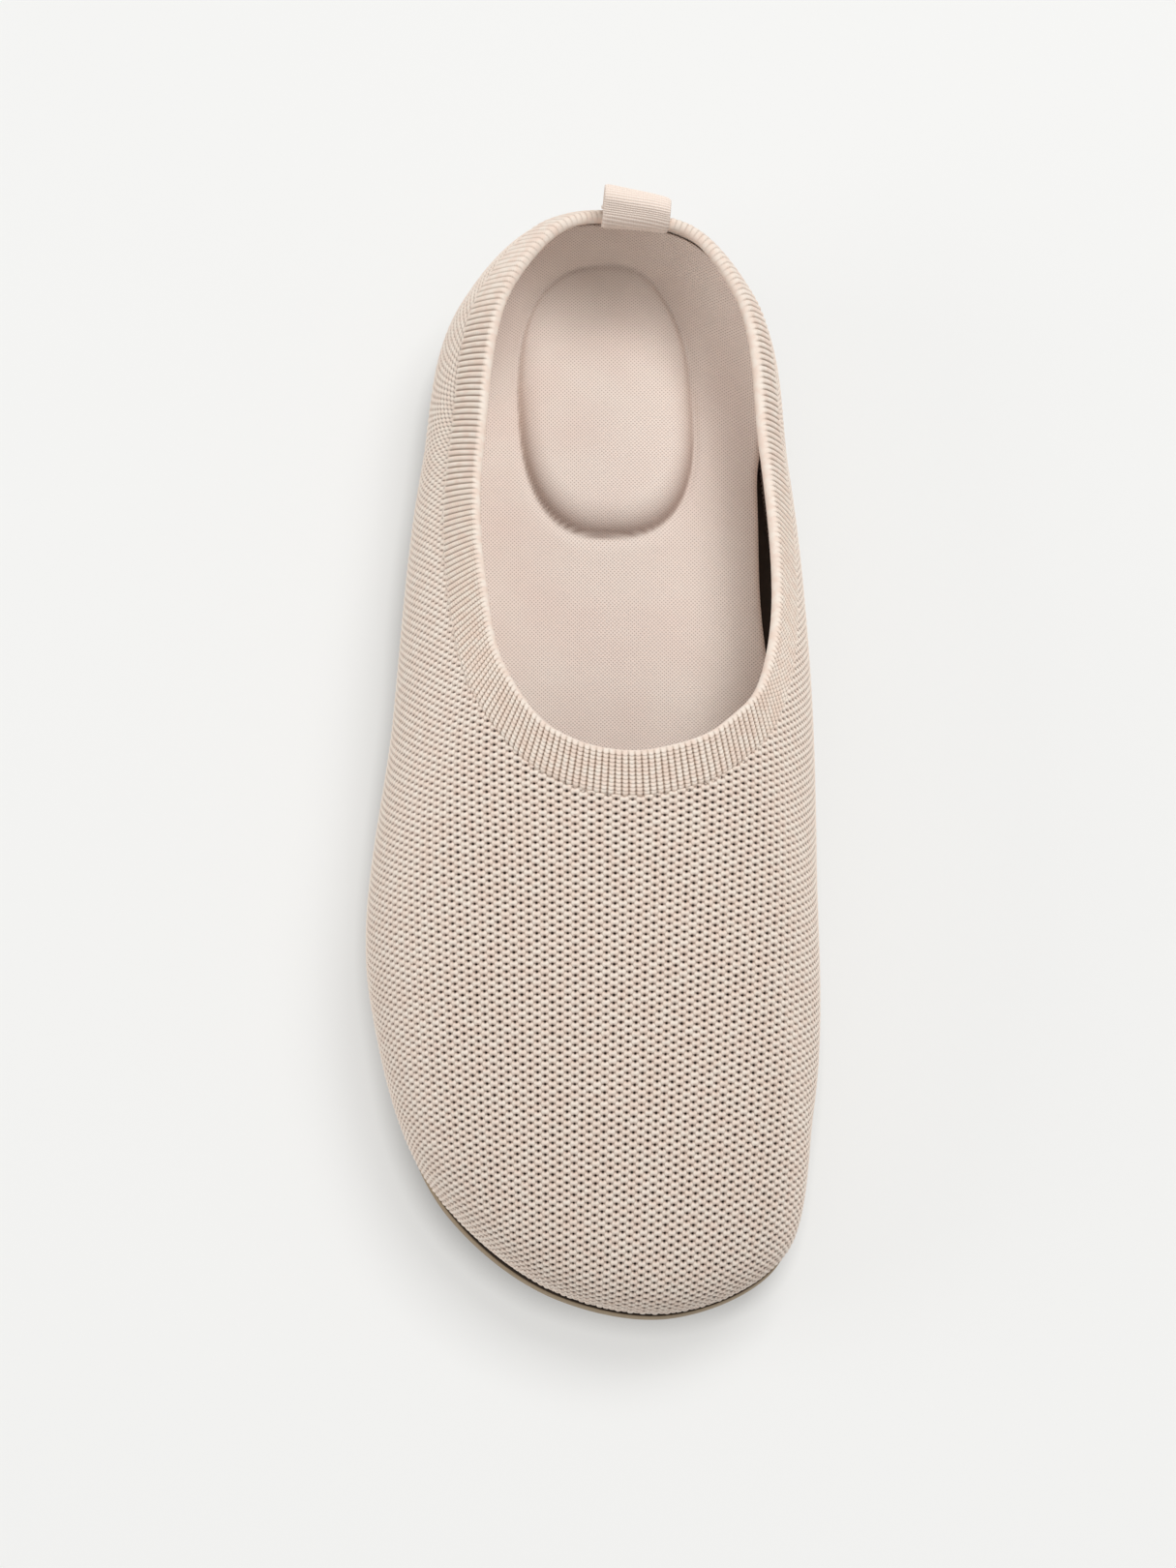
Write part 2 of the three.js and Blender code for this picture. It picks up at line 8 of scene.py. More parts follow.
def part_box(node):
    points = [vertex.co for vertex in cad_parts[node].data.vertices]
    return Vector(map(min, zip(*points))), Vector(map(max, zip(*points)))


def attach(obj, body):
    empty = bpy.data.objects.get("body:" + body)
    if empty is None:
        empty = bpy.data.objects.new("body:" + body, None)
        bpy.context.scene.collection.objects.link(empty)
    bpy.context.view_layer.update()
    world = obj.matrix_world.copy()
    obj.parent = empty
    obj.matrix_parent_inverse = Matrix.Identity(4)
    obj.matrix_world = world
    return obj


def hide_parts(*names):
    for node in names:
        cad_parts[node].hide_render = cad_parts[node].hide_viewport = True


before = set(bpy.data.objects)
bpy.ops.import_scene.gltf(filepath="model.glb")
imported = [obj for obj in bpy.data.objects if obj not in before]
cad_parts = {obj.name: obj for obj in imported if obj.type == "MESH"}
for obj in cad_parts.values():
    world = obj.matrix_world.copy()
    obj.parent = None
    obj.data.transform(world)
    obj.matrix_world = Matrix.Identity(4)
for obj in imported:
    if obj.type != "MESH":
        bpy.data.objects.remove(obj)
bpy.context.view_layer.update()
mm = 0.001
nudge = 0.5 * mm                          # step to either side over which a direction is taken

# The form

form = {                                  # sizes that every piece follows, as in the solids
    "length": 263 * mm,
    "ballWidth": 103 * mm,
    "heelHeight": 53 * mm,                # collar above the floor
    "sideHeight": 48 * mm,
    "instepHeight": 67 * mm,
    "openingLength": 140 * mm,
    "openingWidth": 70.4 * mm,
    "openingSetback": 7.6 * mm,
    "openingShift": 5.4 * mm,
    "swellHeight": 23 * mm,
    "tuck": 3.2 * mm,                     # the knit's foot is drawn in so far under the widest place
    "wall": 2 * mm,
    "collarWidth": 9 * mm,
    "collarRise": 0.5 * mm,
    "heelThickness": 15 * mm,
    "forefootThickness": 10.5 * mm,
    "archRise": 2.4 * mm,
    "toeSpring": 6 * mm,
    "clearance": 0.3 * mm,
    "footRows": 8,                        # rows of a section from the foot to the widest place
    "faceRows": 61,                       # and from there to the collar
    "closeUp": 1.4,                       # over 1, the rows stand closer at the widest place
}

# stations round the shoe, from the heel along the inner side: the widest outline (along, across) and the
# opening (rimAlong, rimAcross) in shares of their sizes, how far the collar rises to the throat and the
# heel, the height of the widest place, and the section's mix, turn and squareness
stationColumns = ("along", "across", "rimAlong", "rimAcross", "throat", "heel", "wide", "side", "turn",
                  "square")
stationRows = np.array([
    (0, 0.075, 0, 0, 0, 1, 1.1, 1, 48, 2),                       # heel back
    (0.02, 0.475, 0.024, 0.46, 0, 0.94, 1.08, 1, 48, 2),         # inner heel corner
    (0.08, 0.75, 0.125, 0.775, 0, 0.55, 1.04, 1, 48, 2),         # inner heel side
    (0.235, 0.893, 0.4, 0.945, 0, 0, 1, 1, 48, 2),               # inner quarter
    (0.433, 0.975, 0.67, 1, 0.22, 0, 0.96, 1, 54, 2.1),          # inner waist
    (0.615, 0.987, 0.83, 0.9, 0.54, 0, 0.9, 0.9, 68, 2.3),       # inner ball
    (0.827, 0.957, 0.925, 0.67, 0.82, 0, 0.86, 0.7, 82, 2.7),    # inner toe side
    (0.957, 0.8, 0.975, 0.41, 0.95, 0, 0.84, 0.53, 88, 2.7),     # inner toe corner
    (1, 0.34, 1, 0.08, 1, 0, 0.85, 0.48, 90, 2.8),               # toe tip
    (0.985, -0.15, 0.998, -0.2, 1, 0, 0.85, 0.48, 90, 2.7),      # outer toe
    (0.914, -0.63, 0.97, -0.48, 0.95, 0, 0.84, 0.55, 88, 2.6),   # outer toe corner
    (0.729, -0.985, 0.89, -0.75, 0.8, 0, 0.88, 0.78, 78, 2.4),   # outer ball
    (0.471, -0.905, 0.73, -0.94, 0.42, 0, 0.95, 1, 60, 2.1),     # outer waist
    (0.235, -0.795, 0.42, -0.985, 0.02, 0, 1, 1, 52, 2),         # outer quarter
    (0.08, -0.635, 0.12, -0.79, 0, 0.55, 1.04, 1, 48, 2),        # outer heel side
    (0.02, -0.38, 0.02, -0.46, 0, 0.94, 1.08, 1, 48, 2),         # outer heel corner
])
station = dict(zip(stationColumns, stationRows.T))

# shares of the toe spring, the arch's rise and the heel's thickness along the sole
soleColumns = ("along", "spring", "arch", "heel")
soleRows = np.array([
    (0, 0.35, 0, 1),          # heel edge
    (0.055, 0, 0, 1),         # heel flat
    (0.3, 0, 0, 0.92),        # heel breast
    (0.43, 0, 1, 0.55),       # waist
    (0.56, 0, 0, 0.16),       # ball start
    (0.76, 0, 0, 0),          # ball end
    (0.88, 0.3, 0, 0),        # toe rise
    (1, 1, 0, 0),             # toe edge
])
soleTable = dict(zip(soleColumns, soleRows.T))

backOfHeel = form["length"] / 2
stationPoint = np.stack([station["across"] * form["ballWidth"] / 2,
                         backOfHeel - station["along"] * form["length"]], 1)
stationGap = np.linalg.norm(np.roll(stationPoint, -1, 0) - stationPoint, axis=1)
stationAt = np.concatenate([[0], np.cumsum(stationGap)])
girth = stationAt[-1]


def mix(a, b, share):
    return a + (b - a) * share


def smooth(share):                        # 0 to 1 with level ends: 3s^2 - 2s^3
    s = np.clip(share, 0, 1)
    return s * s * (3 - 2 * s)


def cubic(a, b, slopeA, slopeB, gap, share):      # cubic from a to b with the given end slopes
    back = 1 - share
    ends = a * (1 + 2 * share) * back ** 2 + b * (3 - 2 * share) * share ** 2
    return ends + gap * (slopeA * share * back ** 2 - slopeB * share ** 2 * back)


def chordSlope(before, here, after, gapBefore, gapAfter):      # slope of the parabola through three
    rise = (here - before) / gapBefore * gapAfter + (after - here) / gapAfter * gapBefore
    return rise / (gapBefore + gapAfter)


def roundShoe(column, distance):          # cubic pieces between the stations, closed on themselves
    v = station[column]
    gapBefore = np.roll(stationGap, 1)
    slope = chordSlope(np.roll(v, 1), v, np.roll(v, -1), gapBefore, stationGap)
    d = np.mod(distance, girth)
    i = np.clip(np.searchsorted(stationAt, d, side="right") - 1, 0, len(v) - 1)
    k = (i + 1) % len(v)
    return cubic(v[i], v[k], slope[i], slope[k], stationGap[i], (d - stationAt[i]) / stationGap[i])


def lengthwise(column, y):                # cubic pieces along the sole, level where a value repeats
    at, v = soleTable["along"], soleTable[column]
    gap = np.diff(at)
    slope = np.concatenate([[0], chordSlope(v[:-2], v[1:-1], v[2:], gap[:-1], gap[1:]), [0]])
    level = (v[1:-1] == v[:-2]) | (v[1:-1] == v[2:])
    slope[1:-1][level] = 0
    slope[0], slope[-1] = (v[1] - v[0]) / gap[0], (v[-1] - v[-2]) / gap[-1]
    a = np.clip((backOfHeel - y) / form["length"], 0, 1)
    i = np.clip(np.searchsorted(at, a, side="right") - 1, 0, len(gap) - 1)
    return cubic(v[i], v[i + 1], slope[i], slope[i + 1], gap[i], (a - at[i]) / gap[i])


def treadHeight(y):
    return form["toeSpring"] * lengthwise("spring", y) + form["archRise"] * lengthwise("arch", y)


def soleTop(y):
    return treadHeight(y) + mix(form["forefootThickness"], form["heelThickness"], lengthwise("heel", y))


def outline(distance, inset=0.0):         # widest outline of the knit, drawn in square to itself
    def at(d):
        return np.stack([roundShoe("across", d) * form["ballWidth"] / 2,
                         backOfHeel - roundShoe("along", d) * form["length"]], -1)

    ahead = at(distance + nudge) - at(distance - nudge)
    ahead /= np.linalg.norm(ahead, axis=-1, keepdims=True)
    inward = np.stack([ahead[..., 1], -ahead[..., 0]], -1)
    return at(distance) + inward * np.asarray(inset)[..., None]


def collarEdge(distance):                 # opening's outline, lifted at the heel and the throat
    x = form["openingShift"] + roundShoe("rimAcross", distance) * form["openingWidth"] / 2
    y = backOfHeel - form["openingSetback"] - roundShoe("rimAlong", distance) * form["openingLength"]
    z = (form["sideHeight"] + roundShoe("throat", distance) * (form["instepHeight"] - form["sideHeight"])
         + roundShoe("heel", distance) * (form["heelHeight"] - form["sideHeight"]))
    return np.stack([x, y, z], -1)


def sectionChain(distance):
    # outer face from the sole to the collar: a drawn-in foot, inset with the square of the depth, then a
    # quarter of a fuller or plainer ellipse that stops at the turn where it meets the collar
    wide, edge = outline(distance), collarEdge(distance)
    wideHeight = form["swellHeight"] * roundShoe("wide", distance)
    power = 2 / roundShoe("square", distance)
    turn = np.radians(np.minimum(roundShoe("turn", distance), 90))
    side = roundShoe("side", distance)
    rows = []
    for down in np.linspace(1, 0, form["footRows"], endpoint=False):
        low = outline(distance, form["tuck"] * down ** 2 * np.ones_like(distance))
        foot = soleTop(low[:, 1]) + form["clearance"]
        rows.append(np.column_stack([low, mix(wideHeight, foot, down)]))
    for share in np.linspace(0, 1, form["faceRows"]):
        bend = turn * share ** form["closeUp"]
        inward = (1 - np.maximum(np.cos(bend), 0) ** power) / (1 - np.maximum(np.cos(turn), 0) ** power)
        upward = (np.sin(bend) / np.sin(turn)) ** power
        rise = side * upward + (1 - side) * inward
        flat = mix(wide, edge[:, :2], inward[:, None])
        rows.append(np.column_stack([flat, mix(wideHeight, edge[:, 2], rise)]))
    return np.stack(rows, 1)


def faceAt(distance, below):              # points of the outer face at lengths below the collar edge
    chain = sectionChain(distance)[:, ::-1]
    steps = np.linalg.norm(np.diff(chain, axis=1), axis=2)
    run = np.concatenate([np.zeros((len(distance), 1)), np.cumsum(steps, axis=1)], axis=1)
    after = np.clip((run[:, None, :] < below[:, :, None]).sum(2), 1, run.shape[1] - 1)
    runA, runB = np.take_along_axis(run, after - 1, 1), np.take_along_axis(run, after, 1)
    share = np.clip((below - runA) / (runB - runA), 0, 1)[..., None]
    a = np.take_along_axis(chain, (after - 1)[..., None].repeat(3, 2), 1)
    b = np.take_along_axis(chain, after[..., None].repeat(3, 2), 1)
    return mix(a, b, share)


def faceLength(distance):
    return np.linalg.norm(np.diff(sectionChain(distance), axis=1), axis=2).sum(1)


def unit(v):
    return v / np.maximum(np.linalg.norm(v, axis=-1, keepdims=True), 1e-12)


def outwards(points):                     # way out of a face whose rows run round the shoe and down it
    ahead = np.roll(points, -1, 0) - np.roll(points, 1, 0)
    down = np.gradient(points, axis=1)
    return unit(np.cross(ahead, down))


def shiftToFrame():
    # from the middle of the form's own box to the middle of the solids' box, on the solids' own grid
    distance = np.arange(80) * girth / 80
    share = np.linspace(0, 1, 15) ** 1.25
    below = mix(faceLength(distance)[:, None], form["collarWidth"], share[None, :])
    face = faceAt(distance, below)
    low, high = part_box("upper")
    formMiddle = (face.min((0, 1)) + face.max((0, 1))) / 2
    return np.array([(low.x + high.x) / 2 - formMiddle[0], (low.y + high.y) / 2 - formMiddle[1], 0])


shift = shiftToFrame()
print("form: girth", round(girth / mm, 1), "mm, shift", np.round(shift / mm, 3), "mm")

# Meshes


def makePiece(name, points, faces, material, chart=None, values=None):
    # chart: one pair of map coordinates for each face corner, values: named numbers for each point
    mesh = bpy.data.meshes.new(name)
    mesh.from_pydata((points + shift).tolist(), [], faces)
    if chart is not None:
        layer = mesh.uv_layers.new(name="stitch")
        layer.data.foreach_set("uv", np.ascontiguousarray(chart, np.float32).ravel())
    for key, value in (values or {}).items():
        mesh.attributes.new(key, "FLOAT", "POINT").data.foreach_set("value", value.astype(np.float32))
    mesh.shade_smooth()
    piece = bpy.data.objects.new(name, mesh)
    bpy.context.scene.collection.objects.link(piece)
    mesh.materials.append(material)
    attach(piece, "root")
    print(name, len(mesh.polygons), "faces")
    return piece


def netFaces(rows, columns, closedRows=False):
    # four-sided faces of a grid that holds row after row: the mesh's corners, where the last row may close
    # on the first, and the chart's, which has one row more instead
    row = np.arange(rows if closedRows else rows - 1)[:, None]
    column = np.arange(columns - 1)[None, :]

    def quads(following):
        near, far = row * columns + column, following * columns + column
        return np.stack([near, near + 1, far + 1, far], -1).reshape(-1, 4)

    return quads((row + 1) % rows), quads(row + 1)


# Finishes


class Finish:
    # a material and short calls for the nodes that the finishes share
    def __init__(self, name, roughness, specular=0.3, sheen=0.0):
        self.material = bpy.data.materials.new(name)
        self.material.use_nodes = True
        self.tree = self.material.node_tree
        self.shader = self.tree.nodes["Principled BSDF"]
        self.shader.inputs["Roughness"].default_value = roughness
        self.shader.inputs["Specular IOR Level"].default_value = specular
        self.shader.inputs["Sheen Weight"].default_value = sheen
        self.shader.inputs["Sheen Roughness"].default_value = 0.5

    def node(self, kind, **settings):
        made = self.tree.nodes.new(kind)
        for key, value in settings.items():
            setattr(made, key, value)
        return made

    def feed(self, socket, value):
        if isinstance(value, bpy.types.NodeSocket):
            self.tree.links.new(value, socket)
        else:
            socket.default_value = value

    def math(self, operation, *values):
        made = self.node("ShaderNodeMath", operation=operation)
        for socket, value in zip(made.inputs, values):
            self.feed(socket, value)
        return made.outputs[0]

    def span(self, value, low, high, toLow=0.0, toHigh=1.0):      # soft step between two values
        made = self.node("ShaderNodeMapRange", interpolation_type="SMOOTHSTEP")
        for socket, item in zip(made.inputs, (value, low, high, toLow, toHigh)):
            self.feed(socket, item)
        return made.outputs[0]

    def squares(self, a, b):              # sum of the two squares
        return self.math("ADD", self.math("MULTIPLY", a, a), self.math("MULTIPLY", b, b))

    def blend(self, share, a, b):
        made = self.node("ShaderNodeMix", data_type="RGBA")
        for socket, item in zip((made.inputs[0], made.inputs[6], made.inputs[7]), (share, a, b)):
            self.feed(socket, item)
        return made.outputs[2]

    def noise(self, vector, scale, detail=3.0, roughness=0.55):
        made = self.node("ShaderNodeTexNoise")
        self.feed(made.inputs["Vector"], vector)
        made.inputs["Scale"].default_value = scale
        made.inputs["Detail"].default_value = detail
        made.inputs["Roughness"].default_value = roughness
        return made.outputs[0]

    def place(self):
        return self.node("ShaderNodeTexCoord").outputs["Object"]

    def chart(self):
        made = self.node("ShaderNodeUVMap", uv_map="stitch")
        split = self.node("ShaderNodeSeparateXYZ")
        self.feed(split.inputs[0], made.outputs[0])
        return split.outputs[0], split.outputs[1]

    def value(self, name):
        return self.node("ShaderNodeAttribute", attribute_name=name).outputs["Fac"]

    def colour(self, value):
        self.feed(self.shader.inputs["Base Color"], value)

    def bump(self, height, distance, strength=1.0, under=None):
        made = self.node("ShaderNodeBump")
        made.inputs["Strength"].default_value = strength
        made.inputs["Distance"].default_value = distance
        self.feed(made.inputs["Height"], height)
        if under is not None:
            self.feed(made.inputs["Normal"], under)
        self.feed(self.shader.inputs["Normal"], made.outputs[0])
        return made.outputs[0]


def paint(red, green, blue):              # screen colour from 0 to 255 as light
    def light(c):
        return ((c / 255 + 0.055) / 1.055) ** 2.4 if c > 10 else c / 255 / 12.92

    return light(red), light(green), light(blue), 1.0


# Knit

knit = {
    "fine": 4,                # mesh steps in a stitch
    "walePitch": 1.62 * mm,   # columns on the forefoot
    "sidePitch": 1.48 * mm,   # columns at the quarters and heel
    "coursePitch": 1.64 * mm,
    "forwardFrom": 108 * mm,  # place along the shoe where the columns begin to turn forward
    "forwardTo": 52 * mm,
    "turnReach": 15 * mm,     # beside the band they lean out a little within this length
    "turnLeast": 0.8,
    "underBand": 2.2 * mm,    # the knit runs on this far under the rib band
    "underFoot": 1.6 * mm,    # and this far under the foot
    "sunk": 0.4 * mm,         # it lies this much lower under the band
    "toeDraw": 0.6 * mm,      # the low front of the toe is drawn in so far, to show the sole
    "relief": 0.52 * mm,      # height of a stitch over its seams
    "stitchWide": 0.62,       # half sizes of a stitch, in columns and courses
    "stitchLong": 0.54,
    "bow": 0.16,              # courses by which a stitch's sides lie behind its middle, as in a heart
    "pit": 0.6 * mm,          # depth of the hole between four stitches
    "pitWide": 0.24 * mm,
    "holeWide": 0.3 * mm,     # radius of the dark hole
    "gapeFrom": 58 * mm,      # the holes open from this place along the shoe
    "gapeReach": 70 * mm,     # over this length towards the toe
    "gapeHeel": 0.45,         # left of them at the heel, and at the sides
    "gapeSide": 0.6,
    "plump": 0.34 * mm,       # depths of the bumps for a stitch, its hole and the yarn's fibres
    "dip": 0.25 * mm,
    "fuzz": 0.08 * mm,
    "cream": paint(247, 234, 221),
    "pink": paint(240, 216, 200),
    # painted shade: in the seams between the stitches, round the holes and in them
    "seamShade": paint(160, 130, 108),
    "seamShadeWeight": 0.62,
    "holeRimShade": paint(150, 104, 78),
    "shadedHole": paint(36, 20, 12),
    "toeFrom": -66 * mm,      # the forefoot's knit is made as two pieces, vamp and toe
    "gridRound": 320,         # grid of the form on which the lattice is laid
    "gridDown": 58,
    "solveSteps": 1500,
    "solveEnough": 1e-12,     # the solver ends when so little of its miss is left
}


def formGrid():
    # the knit's face from under the rib band down to the foot and in under it, with its ways out
    distance = np.arange(knit["gridRound"]) * girth / knit["gridRound"]
    share = np.linspace(0, 1, knit["gridDown"])
    below = mix(form["collarWidth"] - knit["underBand"], faceLength(distance)[:, None], share[None, :])
    points = faceAt(distance, below)
    for part in (0.5, 1):
        turned = outline(distance, np.full(len(distance), form["tuck"] + part * knit["underFoot"]))
        turned = np.column_stack([turned, points[:, knit["gridDown"] - 1, 2]])
        points = np.concatenate([points, turned[:, None]], 1)
    return points, outwards(points)


def leastSteps(goalRound, goalDown, weightRound, weightDown):
    # the field whose steps from node to node come nearest to the goals, in least squares, by conjugate
    # gradients on the whole grid
    def gather(stepRound, stepDown):
        out = np.roll(stepRound, 1, 0) - stepRound
        out[:, 1:] += stepDown
        out[:, :-1] -= stepDown
        return out

    def apply(x):
        return gather(weightRound * (np.roll(x, -1, 0) - x), weightDown * np.diff(x, axis=1))

    scale = weightRound + np.roll(weightRound, 1, 0)
    scale[:, 1:] += weightDown
    scale[:, :-1] += weightDown
    x = np.zeros_like(goalRound)
    rest = gather(weightRound * goalRound, weightDown * goalDown)
    way = rest / scale
    power = (rest * way).sum()
    for _ in range(knit["solveSteps"]):
        pushed = apply(way)
        step = power / (way * pushed).sum()
        x += step * way
        rest -= step * pushed
        eased = rest / scale
        following = (rest * eased).sum()
        if following < knit["solveEnough"]:
            break
        way = eased + following / power * way
        power = following
    return x


def layLattice(points, normals):
    # counts columns and courses over the form: down at the heel, straight to the toe along the sides and
    # the forefoot, and down over the toe, each a pitch apart. The columns' count closes on whole pairs
    n = len(points)
    roundStep = np.roll(points, -1, 0) - points
    downStep = np.diff(points, axis=1)
    roundLength = np.linalg.norm(roundStep, axis=2)
    downLength = np.linalg.norm(downStep, axis=2)
    down = unit(np.gradient(points, axis=1))
    none = np.zeros(normals.shape[:2])
    ahead = np.stack([none, none - 1, -1.5 * normals[..., 1] ** 2], -1)
    ahead = unit(ahead - normals * (ahead * normals).sum(-1, keepdims=True))
    # below the widest outline the columns keep the slant that they have there
    aside = unit(np.cross(down, normals))
    widest = np.maximum((normals[..., 2] > 0.1).sum(1) - 1, 0)[:, None]
    row = np.minimum(np.arange(points.shape[1])[None, :], widest)
    slant = [np.take_along_axis((ahead * way).sum(-1), row, 1)[..., None] for way in (down, aside)]
    ahead = slant[0] * down + slant[1] * aside
    fromBand = np.pad(np.cumsum(downLength, axis=1), ((0, 0), (1, 0)))
    forward = smooth((knit["forwardFrom"] - points[..., 1]) / (knit["forwardFrom"] - knit["forwardTo"]))
    turned = forward * mix(knit["turnLeast"], 1.0, smooth(fromBand / knit["turnReach"]))
    along = unit(mix(down, ahead, turned[..., None]))
    across = unit(np.cross(along, normals))
    meanDown = (downLength[:, 1:] + downLength[:, :-1]) / 2
    weightRound = np.pad(meanDown, ((0, 0), (1, 1)), mode="edge") / roundLength
    weightDown = (roundLength[:, 1:] + roundLength[:, :-1]) / 2 / downLength

    def goals(way, pitch):
        perStep = way / pitch[..., None]
        goalRound = (roundStep * (perStep + np.roll(perStep, -1, 0)) / 2).sum(2)
        goalDown = (downStep * (perStep[:, 1:] + perStep[:, :-1]) / 2).sum(2)
        return goalRound, goalDown

    goalRound, goalDown = goals(across, mix(knit["sidePitch"], knit["walePitch"], forward))
    columns = 2 * round(float(goalRound.sum(0).mean()) / 2)
    wale = leastSteps(goalRound - columns / n, goalDown, weightRound, weightDown)
    goalRound, goalDown = goals(along, np.full(forward.shape, knit["coursePitch"]))
    course = leastSteps(goalRound, goalDown, weightRound, weightDown)
    print("lattice:", columns, "columns round, courses", round(float(np.ptp(course)), 1))
    wale = np.concatenate([wale, wale[:1]]) + np.arange(n + 1)[:, None] * columns / n
    course = np.concatenate([course, course[:1]])
    counts = np.stack([wale / 2 + course, wale / 2 - course], -1) * knit["fine"]
    return counts, columns * knit["fine"] // 2


def between(grid, i, j):
    # value of a grid between its nodes and its slopes along both sides, the first side closed on itself
    i0, j0 = np.floor(i).astype(int), np.clip(np.floor(j).astype(int), 0, grid.shape[1] - 2)
    a, b = i - i0, j - j0
    if grid.ndim == 3:
        a, b = a[..., None], b[..., None]
    n = grid.shape[0]
    p, q = grid[i0 % n, j0], grid[(i0 + 1) % n, j0]
    r, s = grid[i0 % n, j0 + 1], grid[(i0 + 1) % n, j0 + 1]
    return mix(mix(p, q, a), mix(r, s, a), b), mix(q - p, s - r, b), mix(r - p, s - q, a)


keyStep = 10000                           # more than any count, so that two counts make one number


def latticePoints(counts):
    # every place on the grid where both slanting counts are whole, by Newton's steps in each cell to each
    # whole pair within its reach: rows of the two counts and of the place round and down the grid
    p, q, r, s = counts[:-1, :-1], counts[1:, :-1], counts[:-1, 1:], counts[1:, 1:]
    low = np.floor(np.minimum(np.minimum(p, q), np.minimum(r, s)))
    reach = int((np.maximum(np.maximum(p, q), np.maximum(r, s)) - low).max()) + 1
    cellRound, cellDown = np.indices(p.shape[:2])
    found = []
    for k in range(reach * reach):
        goal = low + np.array([k // reach, k % reach])
        a, b = np.full(cellRound.shape, 0.5), np.full(cellRound.shape, 0.5)
        for _ in range(5):
            slopeA, slopeB = mix(q - p, s - r, b[..., None]), mix(r - p, s - q, a[..., None])
            miss = goal - mix(mix(p, q, a[..., None]), mix(r, s, a[..., None]), b[..., None])
            area = slopeA[..., 0] * slopeB[..., 1] - slopeA[..., 1] * slopeB[..., 0]
            a = a + (miss[..., 0] * slopeB[..., 1] - miss[..., 1] * slopeB[..., 0]) / area
            b = b + (slopeA[..., 0] * miss[..., 1] - slopeA[..., 1] * miss[..., 0]) / area
        inside = (np.abs(a - 0.5) < 0.500001) & (np.abs(b - 0.5) < 0.500001)
        found.append(np.column_stack([goal[inside], (cellRound + a)[inside], (cellDown + b)[inside]]))
    found = np.concatenate(found)
    _, index = np.unique(found[:, 0] * keyStep + found[:, 1], return_index=True)
    return found[index]


def stitchFaces(u, v, period):
    # diamonds between the whole counts, found across the place where the counts close on themselves too
    key = u * keyStep + v
    order = np.argsort(key)
    ranked = key[order]

    def corner(stepU, stepV):
        best = np.full(len(u), -1)
        for lap in (0, period, -period):
            want = (u + stepU + lap) * keyStep + v + stepV + lap
            at = np.clip(np.searchsorted(ranked, want), 0, len(u) - 1)
            best = np.where((best < 0) & (ranked[at] == want), order[at], best)
        return best

    steps = np.array([(0, 1), (1, 1), (1, 0), (0, 0)])
    corners = np.stack([corner(*step) for step in steps], 1)
    whole = (corners >= 0).all(1)
    chart = np.stack([u, v], -1)[whole][:, None, :] + steps
    return corners[whole], chart / knit["fine"]


def pointNormals(points, faces):          # each point's mean of its faces' ways out, by their size
    p = points[faces]
    across = np.cross(p[:, 2] - p[:, 0], p[:, 3] - p[:, 1])
    sums = [np.bincount(faces.ravel(), across[:, k].repeat(4), len(points)) for k in range(3)]
    return unit(np.stack(sums, -1))


def openness(points, normals):            # holes gape over the forefoot, less at the heel and sides
    forefoot = smooth((knit["gapeFrom"] - points[..., 1]) / knit["gapeReach"])
    sideways = smooth((np.abs(normals[..., 0]) - 0.35) / 0.55)
    return mix(knit["gapeHeel"], 1.0, forefoot) * mix(1.0, knit["gapeSide"], sideways)


def stitchShape(wale, course):
    # height of the fullest stitch at a place, each stitch half an ellipsoid in the middle of four holes
    height = np.zeros_like(wale)
    for aside, along in ((0, 0.5), (0, -0.5), (1, 0), (-1, 0)):
        far = ((wale - aside) / knit["stitchWide"]) ** 2 + ((course - along) / knit["stitchLong"]) ** 2
        height = np.maximum(height, np.sqrt(np.maximum(1 - far, 0)))
    return height


